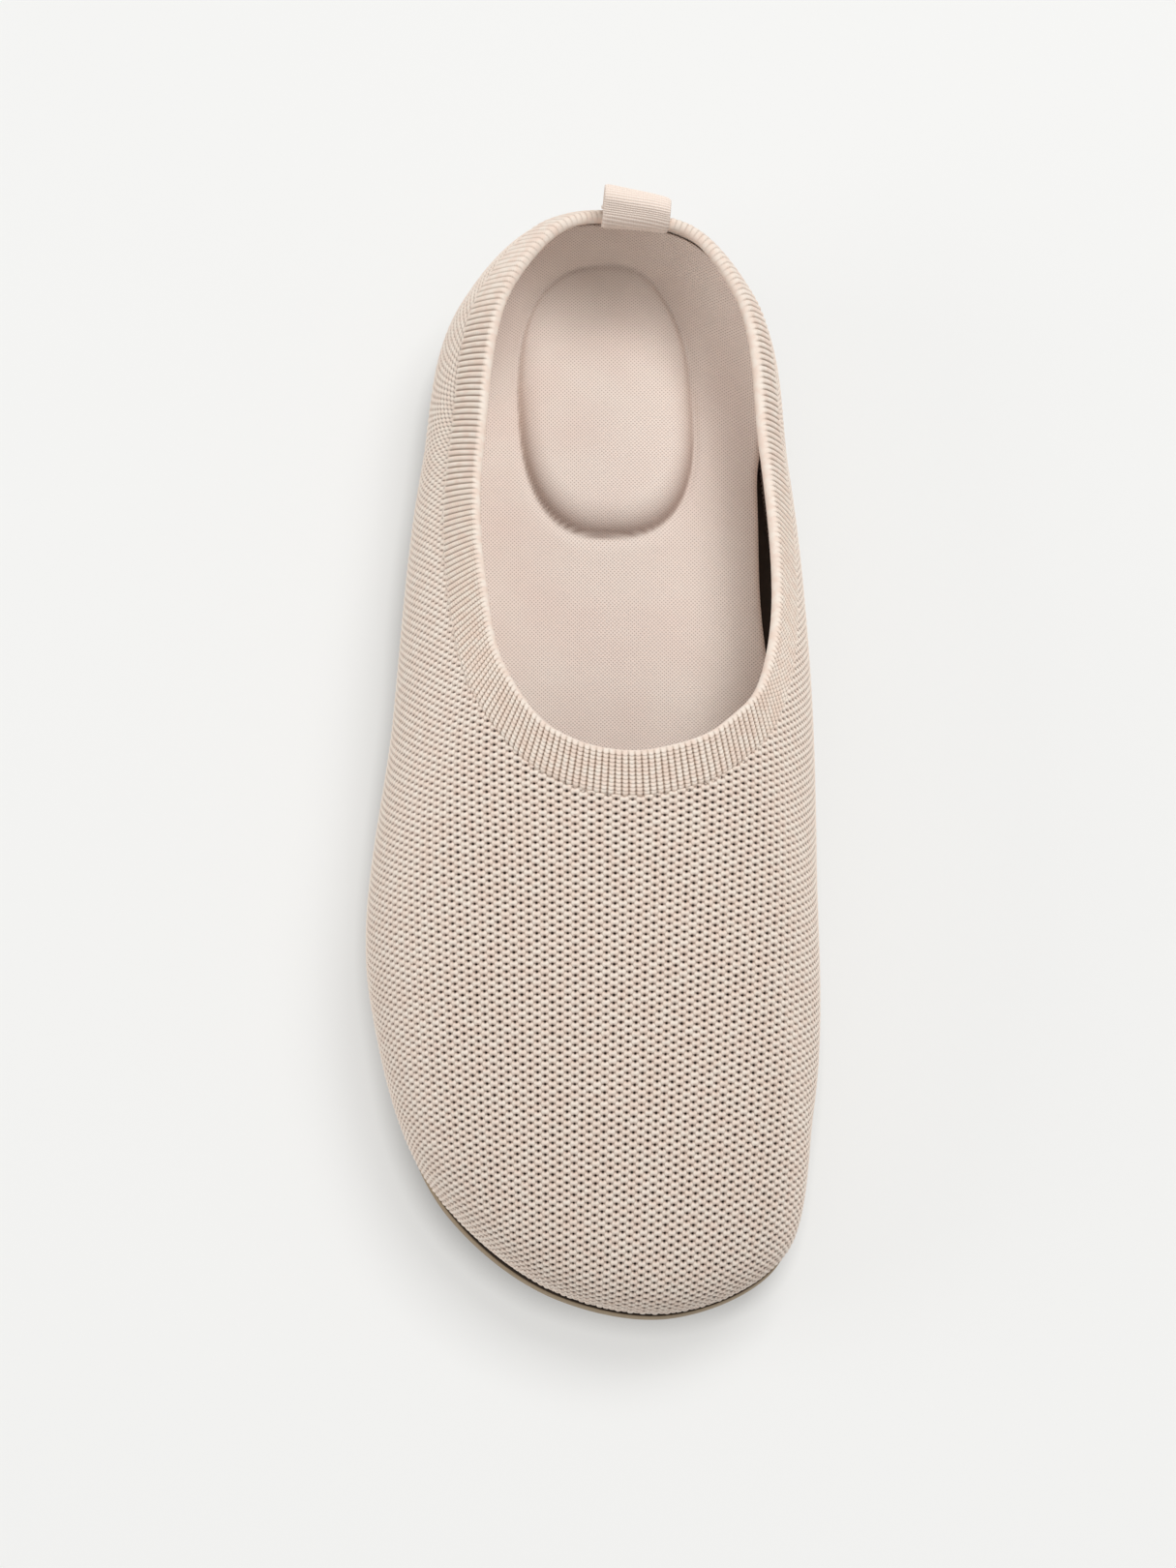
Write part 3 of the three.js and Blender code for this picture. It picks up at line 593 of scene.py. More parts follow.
def knitFinish():
    # each stitch a cushion, half an ellipsoid bowed to a heart, with painted shade in the seams, round the
    # holes and in them
    f = Finish("knitYarn", roughness=0.86, specular=0.22, sheen=0.12)
    a, b = f.chart()
    gape = f.value("open")
    inA = f.math("SUBTRACT", f.math("FRACT", a), 0.5)
    inB = f.math("SUBTRACT", f.math("FRACT", b), 0.5)
    side = f.math("ABSOLUTE", f.math("ADD", inA, inB))
    along = f.math("MULTIPLY", f.math("SUBTRACT", inA, inB), 0.5)

    def cushion(aside, ahead):
        bowed = f.math("ADD", ahead, f.math("MULTIPLY", f.math("MULTIPLY", aside, aside), knit["bow"]))
        far = f.squares(f.math("DIVIDE", aside, knit["stitchWide"]),
                        f.math("DIVIDE", bowed, knit["stitchLong"]))
        return f.math("SQRT", f.math("MAXIMUM", f.math("SUBTRACT", 1.0, far), 0.0))

    aside = f.math("SUBTRACT", 1.0, side)
    own = cushion(side, along)
    height = f.math("MAXIMUM", own, cushion(aside, f.math("ADD", along, 0.5)))
    height = f.math("MAXIMUM", height, cushion(aside, f.math("SUBTRACT", along, 0.5)))
    endWide = f.math("MULTIPLY", aside, knit["walePitch"])
    endLong = f.math("MULTIPLY", along, knit["coursePitch"])
    tipWide = f.math("MULTIPLY", side, knit["walePitch"])
    tip = f.math("SUBTRACT", 0.5, f.math("ABSOLUTE", along))
    tipLong = f.math("MULTIPLY", tip, knit["coursePitch"])
    toHole = f.math("SQRT", f.math("MINIMUM", f.squares(endWide, endLong), f.squares(tipWide, tipLong)))
    where = f.place()
    uneven = f.math("MULTIPLY_ADD", f.noise(where, 700.0, 1.0), 0.9, 0.55)
    reach = f.math("MULTIPLY", f.math("MULTIPLY_ADD", gape, 0.5, 0.5), knit["holeWide"])
    reach = f.math("MULTIPLY", reach, uneven)
    # painted shade, near black, in each hole
    shadedHole = f.span(toHole, f.math("MULTIPLY", reach, 0.55), f.math("MULTIPLY", reach, 1.45), 1.0, 0.0)
    # painted shade, reddish brown, round each hole's rim
    rim = f.span(toHole, reach, f.math("MULTIPLY", reach, 2.6), 1.0, 0.0)
    # painted shade in the seams, where the stitches are low
    seamShade = f.span(height, 0.15, 0.75, 1.0, 0.0)
    warm = f.span(f.noise(where, 420.0, 3.0), 0.35, 0.65)
    yarn = f.blend(f.math("MULTIPLY", warm, 0.5), knit["cream"], knit["pink"])
    yarn = f.blend(f.math("MULTIPLY", seamShade, knit["seamShadeWeight"]), yarn, knit["seamShade"])
    yarn = f.blend(f.math("MULTIPLY", rim, 0.35), yarn, knit["holeRimShade"])
    dark = f.math("MULTIPLY", shadedHole, f.math("MULTIPLY_ADD", gape, 0.65, 0.32))
    f.colour(f.blend(dark, yarn, knit["shadedHole"]))
    plump = f.bump(height, knit["plump"], 0.75)
    coarse = f.bump(shadedHole, knit["dip"], -0.6, plump)
    f.bump(f.noise(where, 3200.0, 2.0), knit["fuzz"], 0.5, coarse)
    return f.material


def makeKnit():
    # the form's face at the lattice's places, moved out by the stitches and in at the holes
    points, normals = formGrid()
    counts, period = layLattice(points, normals)
    u, v, placeRound, placeDown = latticePoints(counts).T
    u, v = u.astype(int), v.astype(int)
    at = between(points, placeRound, placeDown)[0]
    out = unit(between(normals, placeRound, placeDown)[0])
    fromBand = np.linalg.norm(at - between(points, placeRound, np.zeros(len(u)))[0], axis=1)
    offU, offV = (u / knit["fine"] - np.round(u / knit["fine"]) for u in (u, v))
    wide, long = offU + offV, (offU - offV) / 2          # from the nearest hole, in columns and courses
    gape = openness(at, out)
    fromHole = (wide * knit["walePitch"]) ** 2 + (long * knit["coursePitch"]) ** 2
    hollow = np.exp(-fromHole / (2 * knit["pitWide"] ** 2)) * gape
    raised = knit["relief"] * mix(0.65, 1.0, gape) * (stitchShape(wide, long) - 0.6)
    height = raised - knit["pit"] * hollow
    shown = smooth((fromBand - 0.75 * knit["underBand"]) / (0.4 * knit["underBand"]))
    height = mix(-knit["sunk"], height * smooth((knit["gridDown"] - 1 - placeDown) / 1.5), shown)
    front = smooth((-out[:, 1] - 0.3) / 0.5) * smooth((knit["toeFrom"] - at[:, 1]) / (40 * mm))
    low = smooth((34 * mm - at[:, 2]) / (16 * mm))
    at = at + out * (height - knit["toeDraw"] * front * low)[:, None]
    faces, chart = stitchFaces(u, v, period)
    smoothed = pointNormals(at, faces)
    finish = knitFinish()
    middle = at[faces].mean(1)
    forward, inner = middle[:, 1] < 0, middle[:, 0] > form["openingShift"]
    toe = middle[:, 1] < knit["toeFrom"]
    parts = {"knit_inner_quarter": ~forward & inner, "knit_outer_quarter": ~forward & ~inner,
             "knit_vamp": forward & ~toe, "knit_toe": toe}
    for name, chosen in parts.items():
        used, index = np.unique(faces[chosen].ravel(), return_inverse=True)
        piece = makePiece(name, at[used], index.reshape(-1, 4).tolist(), finish,
                          chart[chosen].reshape(-1, 2), {"open": gape[used]})
        piece.data.normals_split_custom_set_from_vertices(smoothed[used].tolist())
        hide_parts("upper")


makeKnit()

# Rib band: ribs of small loops up to a plain rolled edge

rib = {
    "count": 250,
    "fine": 6,                # mesh columns in a rib
    "rows": 44,
    "loopPitch": 0.88 * mm,   # along a rib at the throat
    "sideLoopPitch": 0.64 * mm,
    "sideFrom": 6 * mm,       # the loops shorten between these places along the shoe
    "sideTo": 34 * mm,
    "relief": 0.5 * mm,
    "loopRelief": 0.13 * mm,
    "heelFrom": 92 * mm,      # between these places the ribs flatten to a soft cord round the heel
    "heelTo": 116 * mm,
    "heelRelief": 0.4,        # left of the relief there
    "bow": 0.5,               # loops by which a loop's two sides hang below its middle
    "sunk": 0.5 * mm,         # its lower edge dips this far into the stitches below
    "overlap": 0.7 * mm,      # and runs on this far under them
    "plainFrom": -28,         # degrees over the rolled edge at which the ribs begin to end
    "plainTo": 78,
    "heelPlain": 75,          # degrees further at the heel
    "turnIn": 1.2 * mm,       # it goes down this far inside
    "proud": 0.45 * mm,       # and stands this far off the lining
    "cream": paint(247, 234, 221),
    # painted shade in the grooves between the ribs and at the joins of their loops, with darker dots of it
    # where the loops meet in a groove
    "groove": paint(158, 132, 112),
    "dot": paint(112, 88, 70),
}


def ribFinish():
    f = Finish("ribYarn", roughness=0.84, specular=0.24, sheen=0.12)
    column, loop = f.chart()
    ribbed = f.value("ribbed")
    off = f.math("SUBTRACT", f.math("FRACT", f.math("ADD", column, 0.5)), 0.5)
    away = f.math("MULTIPLY", f.math("ABSOLUTE", off), 2.0)
    bow = f.math("MULTIPLY", f.math("MULTIPLY", away, away), rib["bow"])
    looped = f.math("MULTIPLY", ribbed, ribbed)
    phase = f.math("FRACT", f.math("ADD", loop, bow))
    groove = f.span(away, 0.5, 1.0)
    nearJoin = f.math("ABSOLUTE", f.math("SUBTRACT", phase, 0.5))
    join = f.span(nearJoin, 0.0, 0.24, 1.0, 0.0)
    dot = f.math("MULTIPLY", join, f.span(away, 0.5, 0.85))
    where = f.place()
    warm = f.span(f.noise(where, 420.0, 3.0), 0.35, 0.65)
    yarn = f.blend(f.math("MULTIPLY", warm, 0.7), rib["cream"], knit["pink"])
    # painted shade at the loops' joins and in the grooves between the ribs, with darker dots of it where
    # they meet
    yarn = f.blend(f.math("MULTIPLY", f.math("MULTIPLY", join, looped), 0.2), yarn, rib["groove"])
    yarn = f.blend(f.math("MULTIPLY", f.math("MULTIPLY", groove, ribbed), 0.8), yarn, rib["groove"])
    f.colour(f.blend(f.math("MULTIPLY", f.math("MULTIPLY", dot, looped), 0.85), yarn, rib["dot"]))
    loopShape = f.math("MULTIPLY", f.math("SUBTRACT", 1.0, join), looped)
    coarse = f.bump(loopShape, 0.2 * mm, 0.6)
    f.bump(f.noise(where, 3200.0, 2.0), 0.08 * mm, 0.5, coarse)
    return f.material


def evenRound(count, below):              # distances round the shoe of places evenly spaced on the face
    distance = np.linspace(0, girth, 801)
    line = faceAt(distance, np.full((len(distance), 1), below))[:, 0]
    run = np.concatenate([[0], np.cumsum(np.linalg.norm(np.diff(line, axis=0), axis=1))])
    return np.interp(np.arange(count) * run[-1] / count, run, distance)


def makeRib():
    # the face up to its edge, lifted along its way out, then half a turn over the rolled edge and down
    # inside. A rib is a cosine across, its loops a cosine along it, bowed across the rib
    count = rib["count"] * rib["fine"]
    column = np.arange(count) / rib["fine"]
    distance = evenRound(count, form["collarWidth"] / 2)
    radius = (form["wall"] + form["collarRise"]) / 2
    outer = np.linspace(form["collarWidth"] + rib["overlap"], 0, rib["rows"])
    turn = np.linspace(0, math.pi, 11)[1:]
    inner = np.linspace(0, rib["turnIn"], 5)[1:]
    below = np.concatenate([outer, np.zeros(len(turn)), inner])
    rolled = form["collarRise"] - radius + radius * np.cos(turn)
    rise = np.concatenate([np.full(len(outer), form["collarRise"]), rolled,
                           np.full(len(inner), -form["wall"])])
    rise[len(outer):] -= rib["proud"] * smooth(np.arange(1, len(turn) + len(inner) + 1) / len(turn))
    rise[-1] += rib["proud"] * 2
    over = np.concatenate([np.zeros(len(outer)), radius * np.sin(turn), np.zeros(len(inner))])
    sinking = smooth((outer - form["collarWidth"] + rib["overlap"]) / (2 * rib["overlap"]))
    rise[:len(outer)] -= sinking * (form["collarRise"] + rib["sunk"])
    face = faceAt(distance, np.tile(below, (count, 1)))
    edge, lower = face[:, len(outer) - 1], faceAt(distance, np.full((count, 1), 0.6 * mm))[:, 0]
    up = unit(edge - lower)
    out = -outwards(face[:, :len(outer)])          # its rows run upwards
    out = np.concatenate([out, np.repeat(out[:, -1:], len(turn) + len(inner), 1)], 1)
    run = np.concatenate([outer, -radius * turn, -radius * math.pi - inner])
    heel = smooth((edge[:, 1] - rib["heelFrom"]) / (rib["heelTo"] - rib["heelFrom"]))[:, None]
    plainFrom = -radius * np.radians(rib["plainFrom"] + heel * rib["heelPlain"])
    plainTo = -radius * np.radians(rib["plainTo"] + heel * rib["heelPlain"])
    ribbed = smooth((run[None, :] - plainTo) / (plainFrom - plainTo)) * mix(1.0, rib["heelRelief"], heel)
    side = smooth((edge[:, 1] - rib["sideFrom"]) / (rib["sideTo"] - rib["sideFrom"]))
    loopPitch = mix(rib["loopPitch"], rib["sideLoopPitch"], side)[:, None]
    off = (column - np.round(column))[:, None]
    ridge = np.abs(np.cos(np.pi * off)) ** 0.7
    loops = np.cos(2 * np.pi * (run[None, :] / loopPitch + rib["bow"] * (2 * off) ** 2)) * (1 - heel)
    relief = rib["relief"] * (ridge - 0.75) + rib["loopRelief"] * loops * ridge
    height = rise[None, :] + ribbed * relief
    points = face + out * height[..., None] + up[:, None, :] * over[None, :, None]
    faces, corners = netFaces(count, len(below), closedRows=True)
    wide = np.arange(count + 1)[:, None] / rib["fine"] * np.ones(len(below))
    loopCount = run[None, :] / np.concatenate([loopPitch, loopPitch[:1]])
    chart = np.stack([wide, loopCount], -1).reshape(-1, 2)
    piece = makePiece("rib_band", points.reshape(-1, 3), faces.tolist(), ribFinish(),
                      chart[corners.ravel()], {"ribbed": ribbed.ravel()})
    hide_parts("upper")


makeRib()

# Fabric of the lining and the footbed: a fine net of staggered dots

fabric = {
    "pitch": 0.62 * mm,
    "light": paint(248, 236, 226),
    "rose": paint(243, 226, 216),
    "dot": paint(150, 122, 106),
    "fold": paint(134, 104, 92),          # painted shade where the cloth bends down round the pad
}


def fabricFinish(name, shade, dotWeight):
    f = Finish(name, roughness=0.9, specular=0.18, sheen=0.15)
    x, y = f.chart()
    a = f.math("DIVIDE", f.math("ADD", x, y), fabric["pitch"] * 1.5)
    b = f.math("DIVIDE", f.math("SUBTRACT", x, y), fabric["pitch"] * 1.5)
    nearA = f.math("ABSOLUTE", f.math("SUBTRACT", f.math("FRACT", a), 0.5))
    nearB = f.math("ABSOLUTE", f.math("SUBTRACT", f.math("FRACT", b), 0.5))
    toDot = f.math("SQRT", f.squares(nearA, nearB))
    dot = f.span(toDot, 0.08, 0.36, 1.0, 0.0)
    where = f.place()
    tone = f.span(f.noise(where, 45.0, 3.0), 0.2, 0.8)
    cloth = f.blend(tone, fabric["light"], fabric["rose"])
    cloth = f.blend(shade, cloth, fabric["dot"])
    # painted shade round the pad's foot, most on the toe's side
    cloth = f.blend(f.value("fold"), cloth, fabric["fold"])
    f.colour(f.blend(f.math("MULTIPLY", dot, dotWeight), cloth, fabric["dot"]))
    coarse = f.bump(f.math("SUBTRACT", 1.0, dot), 0.12 * mm, 0.6)
    f.bump(f.noise(where, 2600.0, 2.0), 0.05 * mm, 0.4, coarse)
    return f.material


lining = {
    "round": 420, "down": 46,
    "from": 0.4 * mm,                     # below the collar's edge
    "wide": 0.8,                          # the inside is so much shorter round than the outline
    "shade": 0.0, "dotWeight": 0.95,
}


def makeLining():
    # the outer face moved in by the wall, from the rolled edge to the foot, then out under the knit
    distance = np.arange(lining["round"]) * girth / lining["round"]
    length = faceLength(distance)
    below = mix(lining["from"], length[:, None], np.linspace(0, 1, lining["down"])[None, :])
    face = faceAt(distance, below)
    points = face - outwards(face) * form["wall"]
    foot = outline(distance, np.full(len(distance), form["tuck"] + form["wall"]))
    points[:, -1] = np.column_stack([foot, face[:, -1, 2]])
    points = np.concatenate([points, face[:, -1:]], 1)
    rows = points.shape[1]
    down = np.concatenate([below, below[:, -1:] + form["wall"]], 1)
    down = np.concatenate([down, down[:1]])
    wide = np.arange(lining["round"] + 1)[:, None] * girth * lining["wide"] / lining["round"]
    faces, corners = netFaces(lining["round"], rows, closedRows=True)
    chart = np.stack([wide * np.ones(rows), down], -1).reshape(-1, 2)
    finish = fabricFinish("liningMesh", lining["shade"], lining["dotWeight"])
    piece = makePiece("lining", points.reshape(-1, 3), faces.tolist(), finish, chart[corners.ravel()])
    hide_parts("upper")


makeLining()


def slab(rings, topColumns, bottomColumns, topAt, bottomAt):
    # closed body: rings run round the shoe from the upper face to the lower one, and each face is a net
    # whose lines join a ring's points on the inner side to those across from them
    n = rings[0].shape[0]
    half = n // 2
    points = [np.concatenate(rings)]
    quads, triangles = [], []
    ring = np.arange(n)
    following = (ring + 1) % n
    for k in range(len(rings) - 1):
        quads.append(np.stack([ring, following, following + n, ring + n], 1)[:, ::-1] + k * n)
    lids = ((0, topColumns, topAt, 1), (len(rings) - 1, bottomColumns, bottomAt, -1))
    for k, columns, heightAt, way in lids:
        near, far = rings[k][1:half], rings[k][:half:-1]
        share = np.arange(1, columns) / columns
        inner = mix(near[:, None, :], far[:, None, :], share[None, :, None])
        inner[..., 2] = heightAt(inner[..., 0], inner[..., 1])
        start = sum(len(p) for p in points)
        points.append(inner.reshape(-1, 3))
        inside = start + np.arange(inner.shape[0] * inner.shape[1]).reshape(inner.shape[:2])
        net = np.concatenate([k * n + np.arange(1, half)[:, None], inside,
                              k * n + np.arange(n - 1, half, -1)[:, None]], 1)
        square = np.stack([net[:-1, :-1], net[1:, :-1], net[1:, 1:], net[:-1, 1:]], -1).reshape(-1, 4)
        heel = np.stack([np.full(columns, k * n), net[0, :-1], net[0, 1:]], 1)
        toe = np.stack([net[-1, :-1], np.full(columns, k * n + half), net[-1, 1:]], 1)
        quads.append(square[:, ::way])
        triangles += [heel[:, ::way], toe[:, ::way]]
    return np.concatenate(points), np.concatenate(quads), np.concatenate(triangles)


# Footbed, with its raised heel pad and its edge curled up, far up the wall round the heel

footbed = {
    "round": 640, "columns": 120, "columnsBelow": 24,
    "thickness": 4 * mm,
    "cup": 1.6 * mm, "cupReach": 13 * mm,
    "relief": 3.6 * mm, "reliefMiddle": 0.36, "reliefReach": 0.2,
    "heelCup": 21 * mm, "heelReach": 19 * mm,        # round the heel the cloth runs so far up the wall
    "heelCupFull": 0.07, "heelCupNone": 0.25,        # shares of the length between which that fades
    "edgeRound": 1 * mm, "heelRound": 0.35 * mm,
    "edgeLean": 0.5 * mm,
    "padRise": 3.2 * mm, "padLength": 64.8 * mm, "padWidth": 41.5 * mm,
    "padFromHeel": 10.5 * mm, "padShift": -2.4 * mm, "padLean": 3.5,
    "padEdge": 5.4 * mm, "padSquare": 2.6,
    "pipe": 0.7 * mm, "pipeWidth": 1.1 * mm,         # soft groove round the pad's foot
    "dish": 0.7 * mm,                                # a soft hollow for the ball of the foot
    "dishMiddle": (6 * mm, -30 * mm), "dishReach": (26 * mm, 30 * mm),
    "shade": 0.05, "dotWeight": 0.62, "foldWeight": 0.72,
    "wallRows": 70,                                  # steps down the lining that find the wall's place
    "rimSteps": 4,                                   # places on each step of the rim to measure from
}


def padPlace(x, y):                       # 0 in the middle of the pad and 1 on its edge: a full oval
    lean = math.radians(footbed["padLean"])
    u = x - (form["openingShift"] + footbed["padShift"])
    v = y - (backOfHeel - footbed["padFromHeel"] - footbed["padLength"] / 2)
    across = u * math.cos(lean) + v * math.sin(lean)
    along = v * math.cos(lean) - u * math.sin(lean)
    s = footbed["padSquare"]
    wide = np.abs(across * 2 / footbed["padWidth"]) ** s
    long = np.abs(along * 2 / footbed["padLength"]) ** s
    return (wide + long) ** (1 / s)


def heelShare(along):                     # 1 round the heel, where the footbed runs up the wall
    fade = footbed["heelCupNone"] - footbed["heelCupFull"]
    return 1 - smooth((along - footbed["heelCupFull"]) / fade)


def wallAt(distance, height):
    # the place beside the lining at a height above the floor, between two steps down its run
    share = np.linspace(0, 1, footbed["wallRows"])[None, :]
    below = mix(0.5 * mm, faceLength(distance)[:, None], share)
    face = faceAt(distance, below)
    inner = face - outwards(face) * (form["wall"] + form["clearance"])
    k = np.clip((inner[..., 2] > height[:, None]).sum(1) - 1, 0, inner.shape[1] - 2)[:, None, None]
    upper, lower = (np.take_along_axis(inner, at, 1)[:, 0] for at in (k, k + 1))
    share = np.clip((upper[:, 2] - height) / np.maximum(upper[:, 2] - lower[:, 2], 1e-6), 0, 1)
    return mix(upper, lower, share[:, None])[:, :2]


def footbedTop(x, y, rim, cup):
    # level top, curled up to the rim's nearest place with a power of the nearness to it, the pad on a
    # quarter-round edge, a groove at its foot and a bell-shaped hollow under the ball
    spot = np.stack([x, y], -1)
    away, height = np.full(x.shape, 1.0), np.zeros(x.shape)
    onward = (np.arange(footbed["rimSteps"]) / footbed["rimSteps"])[None, :, None]
    fine = np.column_stack([rim[:, :2], cup])
    fine = mix(fine[:, None], np.roll(fine, -1, 0)[:, None], onward).reshape(-1, 3)
    for part in np.array_split(fine, 64):                # in parts, to spare memory
        far = np.linalg.norm(spot[..., None, :] - part[:, :2], axis=-1)
        nearest = far.argmin(-1)
        far = far.min(-1)
        height = np.where(far < away, part[nearest, 2], height)
        away = np.minimum(away, far)
    heel = np.clip((height - footbed["cup"]) / footbed["heelCup"], 0, 1)
    reach = mix(footbed["cupReach"], footbed["heelReach"], heel)
    near = np.clip(1 - (away - mix(footbed["edgeRound"], 0, heel)) / reach, 0, 1)
    curl = height * near ** mix(1.8, 2.1, heel)
    inPad = (1 - padPlace(x, y)) * footbed["padWidth"] / 2
    edge = np.clip(inPad / footbed["padEdge"], 0, 1)
    pad = footbed["padRise"] * np.sqrt(1 - (1 - edge) ** 2)
    groove = footbed["pipe"] * np.exp(-(inPad / footbed["pipeWidth"] + 0.4) ** 2)
    (middleX, middleY), (reachX, reachY) = footbed["dishMiddle"], footbed["dishReach"]
    ball = footbed["dish"] * np.exp(-((x - middleX) / reachX) ** 2 - ((y - middleY) / reachY) ** 2)
    return soleTop(y) + form["clearance"] + footbed["thickness"] + curl + pad - groove - ball


def padShadeAt(x, y):
    # painted shade where the cloth bends down round the pad: most at its foot, and more on the toe's side
    inPad = (1 - padPlace(x, y)) * footbed["padWidth"] / 2
    bent = np.clip(1 - inPad / footbed["padEdge"], 0, 1) ** 1.6 * smooth((inPad + 0.4 * mm) / (0.6 * mm))
    middle = backOfHeel - footbed["padFromHeel"] - footbed["padLength"] / 2
    return footbed["foldWeight"] * bent * mix(0.3, 1.0, smooth((middle + 8 * mm - y) / (34 * mm)))


def makeFootbed():
    # a slab between rings: over the rim, down its rounded edge and the lean side. Round the heel the rim's
    # rings follow the wall
    count = footbed["round"]
    distance = np.arange(count) * girth / count
    apart = np.abs(roundShoe("along", distance) - footbed["reliefMiddle"]) / footbed["reliefReach"]
    relief = footbed["relief"] * smooth(1 - apart) * (roundShoe("across", distance) > 0)
    first = form["tuck"] + form["wall"] + 2 * form["clearance"]
    heel = heelShare(roundShoe("along", distance))
    cup = footbed["cup"] + footbed["heelCup"] * heel
    edge = mix(footbed["edgeRound"], footbed["heelRound"], heel)
    edgeHeight = footbed["thickness"] + cup
    lean = np.full(count, footbed["edgeLean"])
    rings = []
    for inset, height in ((edge, edgeHeight), (edge * 0.3, edgeHeight - edge * 0.3),
                          (edge * 0, edgeHeight - edge), (lean, edge * 0)):
        flat = outline(distance, first + inset + relief)
        level = soleTop(flat[:, 1]) + form["clearance"] + height
        wall = wallAt(distance, level)
        wall = wall - unit(wall - np.roll(wall, count // 2, 0)) * inset[:, None]
        raised = (heel * (height > 0) * smooth((cup - footbed["cup"]) / (3 * mm)))[:, None]
        rings.append(np.column_stack([mix(flat, wall, raised), level]))
    points, quads, triangles = slab(rings, footbed["columns"], footbed["columnsBelow"],
                                    lambda x, y: footbedTop(x, y, rings[0], cup),
                                    lambda x, y: soleTop(y) + form["clearance"])
    corners = np.concatenate([quads.ravel(), triangles.ravel()])
    chart = (points[:, :2] + points[:, 2:] * [0, 0.75])[corners]     # the dots keep their size up the heel
    fold = padShadeAt(points[:, 0], points[:, 1])
    finish = fabricFinish("footbedMesh", footbed["shade"], footbed["dotWeight"])
    piece = makePiece("footbed_mesh", points, quads.tolist() + triangles.tolist(), finish, chart,
                      {"fold": fold})
    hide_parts("insole")


makeFootbed()

# Sole

sole = {
    "round": 640, "columns": 24,
    "topInset": 0.6 * mm,
    "outerInset": 2.4 * mm,   # drawn in further under the outer side of the forefoot, most at this share
    "outerMiddle": 0.72, "outerReach": 0.25,
    "lip": 3.2 * mm,
    "step": 0.7 * mm,
    "draft": 1.2 * mm,
    "bevel": 0.9 * mm,
    "lugDepth": 3 * mm, "lugGap": 2.2 * mm, "lugPitch": 10.5 * mm, "toeLug": 7.5 * mm,
    "ballStart": 0.54, "heelEnd": 0.31, "heelStart": 0.03,       # where the lugs are cut, from the heel
    "tan": paint(166, 146, 120),
    "dark": paint(134, 115, 92),
    "inside": paint(52, 42, 34),          # painted shade on its level top, in the gap beside the footbed and under the knit
}
treadInset = sole["topInset"] + sole["step"] + sole["draft"]


def soleFinish():
    f = Finish("soleFoam", roughness=0.68, specular=0.3)
    where = f.place()
    cloud = f.span(f.noise(where, 60.0, 4.0), 0.3, 0.7)
    speck = f.span(f.noise(where, 1500.0, 2.0), 0.45, 0.7)
    base = f.blend(f.math("MULTIPLY", cloud, 0.35), sole["tan"], sole["dark"])
    base = f.blend(f.math("MULTIPLY", speck, 0.25), base, sole["dark"])
    # its level top, where the way out points straight up, is painted dark as shade
    split = f.node("ShaderNodeSeparateXYZ")
    f.feed(split.inputs[0], f.node("ShaderNodeNewGeometry").outputs["Normal"])
    f.colour(f.blend(f.span(split.outputs[2], 0.95, 0.99), base, sole["inside"]))
    grain = f.bump(f.noise(where, 900.0, 4.0, 0.6), 0.12 * mm, 0.5)
    f.bump(f.noise(where, 3000.0, 2.0), 0.05 * mm, 0.4, grain)
    return f.material


def soleRing(inset, heightAt):
    # the widest outline drawn in, further on the outer side of the forefoot, at a height along the shoe
    distance = np.arange(sole["round"]) * girth / sole["round"]
    apart = np.abs(roundShoe("along", distance) - sole["outerMiddle"]) / sole["outerReach"]
    outer = smooth(1 - apart) * (roundShoe("across", distance) < 0)
    flat = outline(distance, inset + sole["outerInset"] * outer)
    return np.column_stack([flat, heightAt(flat[:, 1])])


def soleTopAt(x, y):
    return soleTop(y)


def treadAt(x, y):
    return treadHeight(y)


def makeGrooves():
    # one bar across the shoe for each gap between two lugs, its section turned to the tread's slope. The
    # section has leaning walls and a rounded bottom, in widths and depths of the gap
    half = np.array([(-0.62, -1), (-0.5, 0), (-0.44, 0.8), (-0.3, 0.95), (-0.1, 1)])
    profile = np.concatenate([half, half[::-1] * [-1, 1]]) * [sole["lugGap"], sole["lugDepth"]]

    def along(share):
        return backOfHeel - share * form["length"]

    toe, pitch = along(1) + treadInset + sole["toeLug"], sole["lugPitch"]
    places = np.concatenate([np.arange(toe, along(sole["ballStart"]), pitch),
                             np.arange(along(sole["heelEnd"]), along(sole["heelStart"]), pitch)])
    m = len(profile)
    wall = [(i, (i + 1) % m) for i in range(m)]
    points, faces = [], []
    for number, y in enumerate(places):
        slope = math.atan2(treadHeight(y + mm) - treadHeight(y - mm), 2 * mm)
        v = y + profile[:, 0] * math.cos(slope) - profile[:, 1] * math.sin(slope)
        w = treadHeight(y) + profile[:, 0] * math.sin(slope) + profile[:, 1] * math.cos(slope)
        for x in (-0.6, 0.6):
            points.append(np.column_stack([np.full(m, x * form["ballWidth"]), v, w]))
        base = 2 * m * number
        faces += [(base + i, base + k, base + m + k, base + m + i) for i, k in wall]
        faces += [tuple(base + i for i in reversed(range(m))), tuple(base + m + i for i in range(m))]
    mesh = bpy.data.meshes.new("grooves")
    mesh.from_pydata((np.concatenate(points) + shift).tolist(), [], faces)
    bars = bpy.data.objects.new("grooves", mesh)
    bpy.context.scene.collection.objects.link(bars)
    return bars


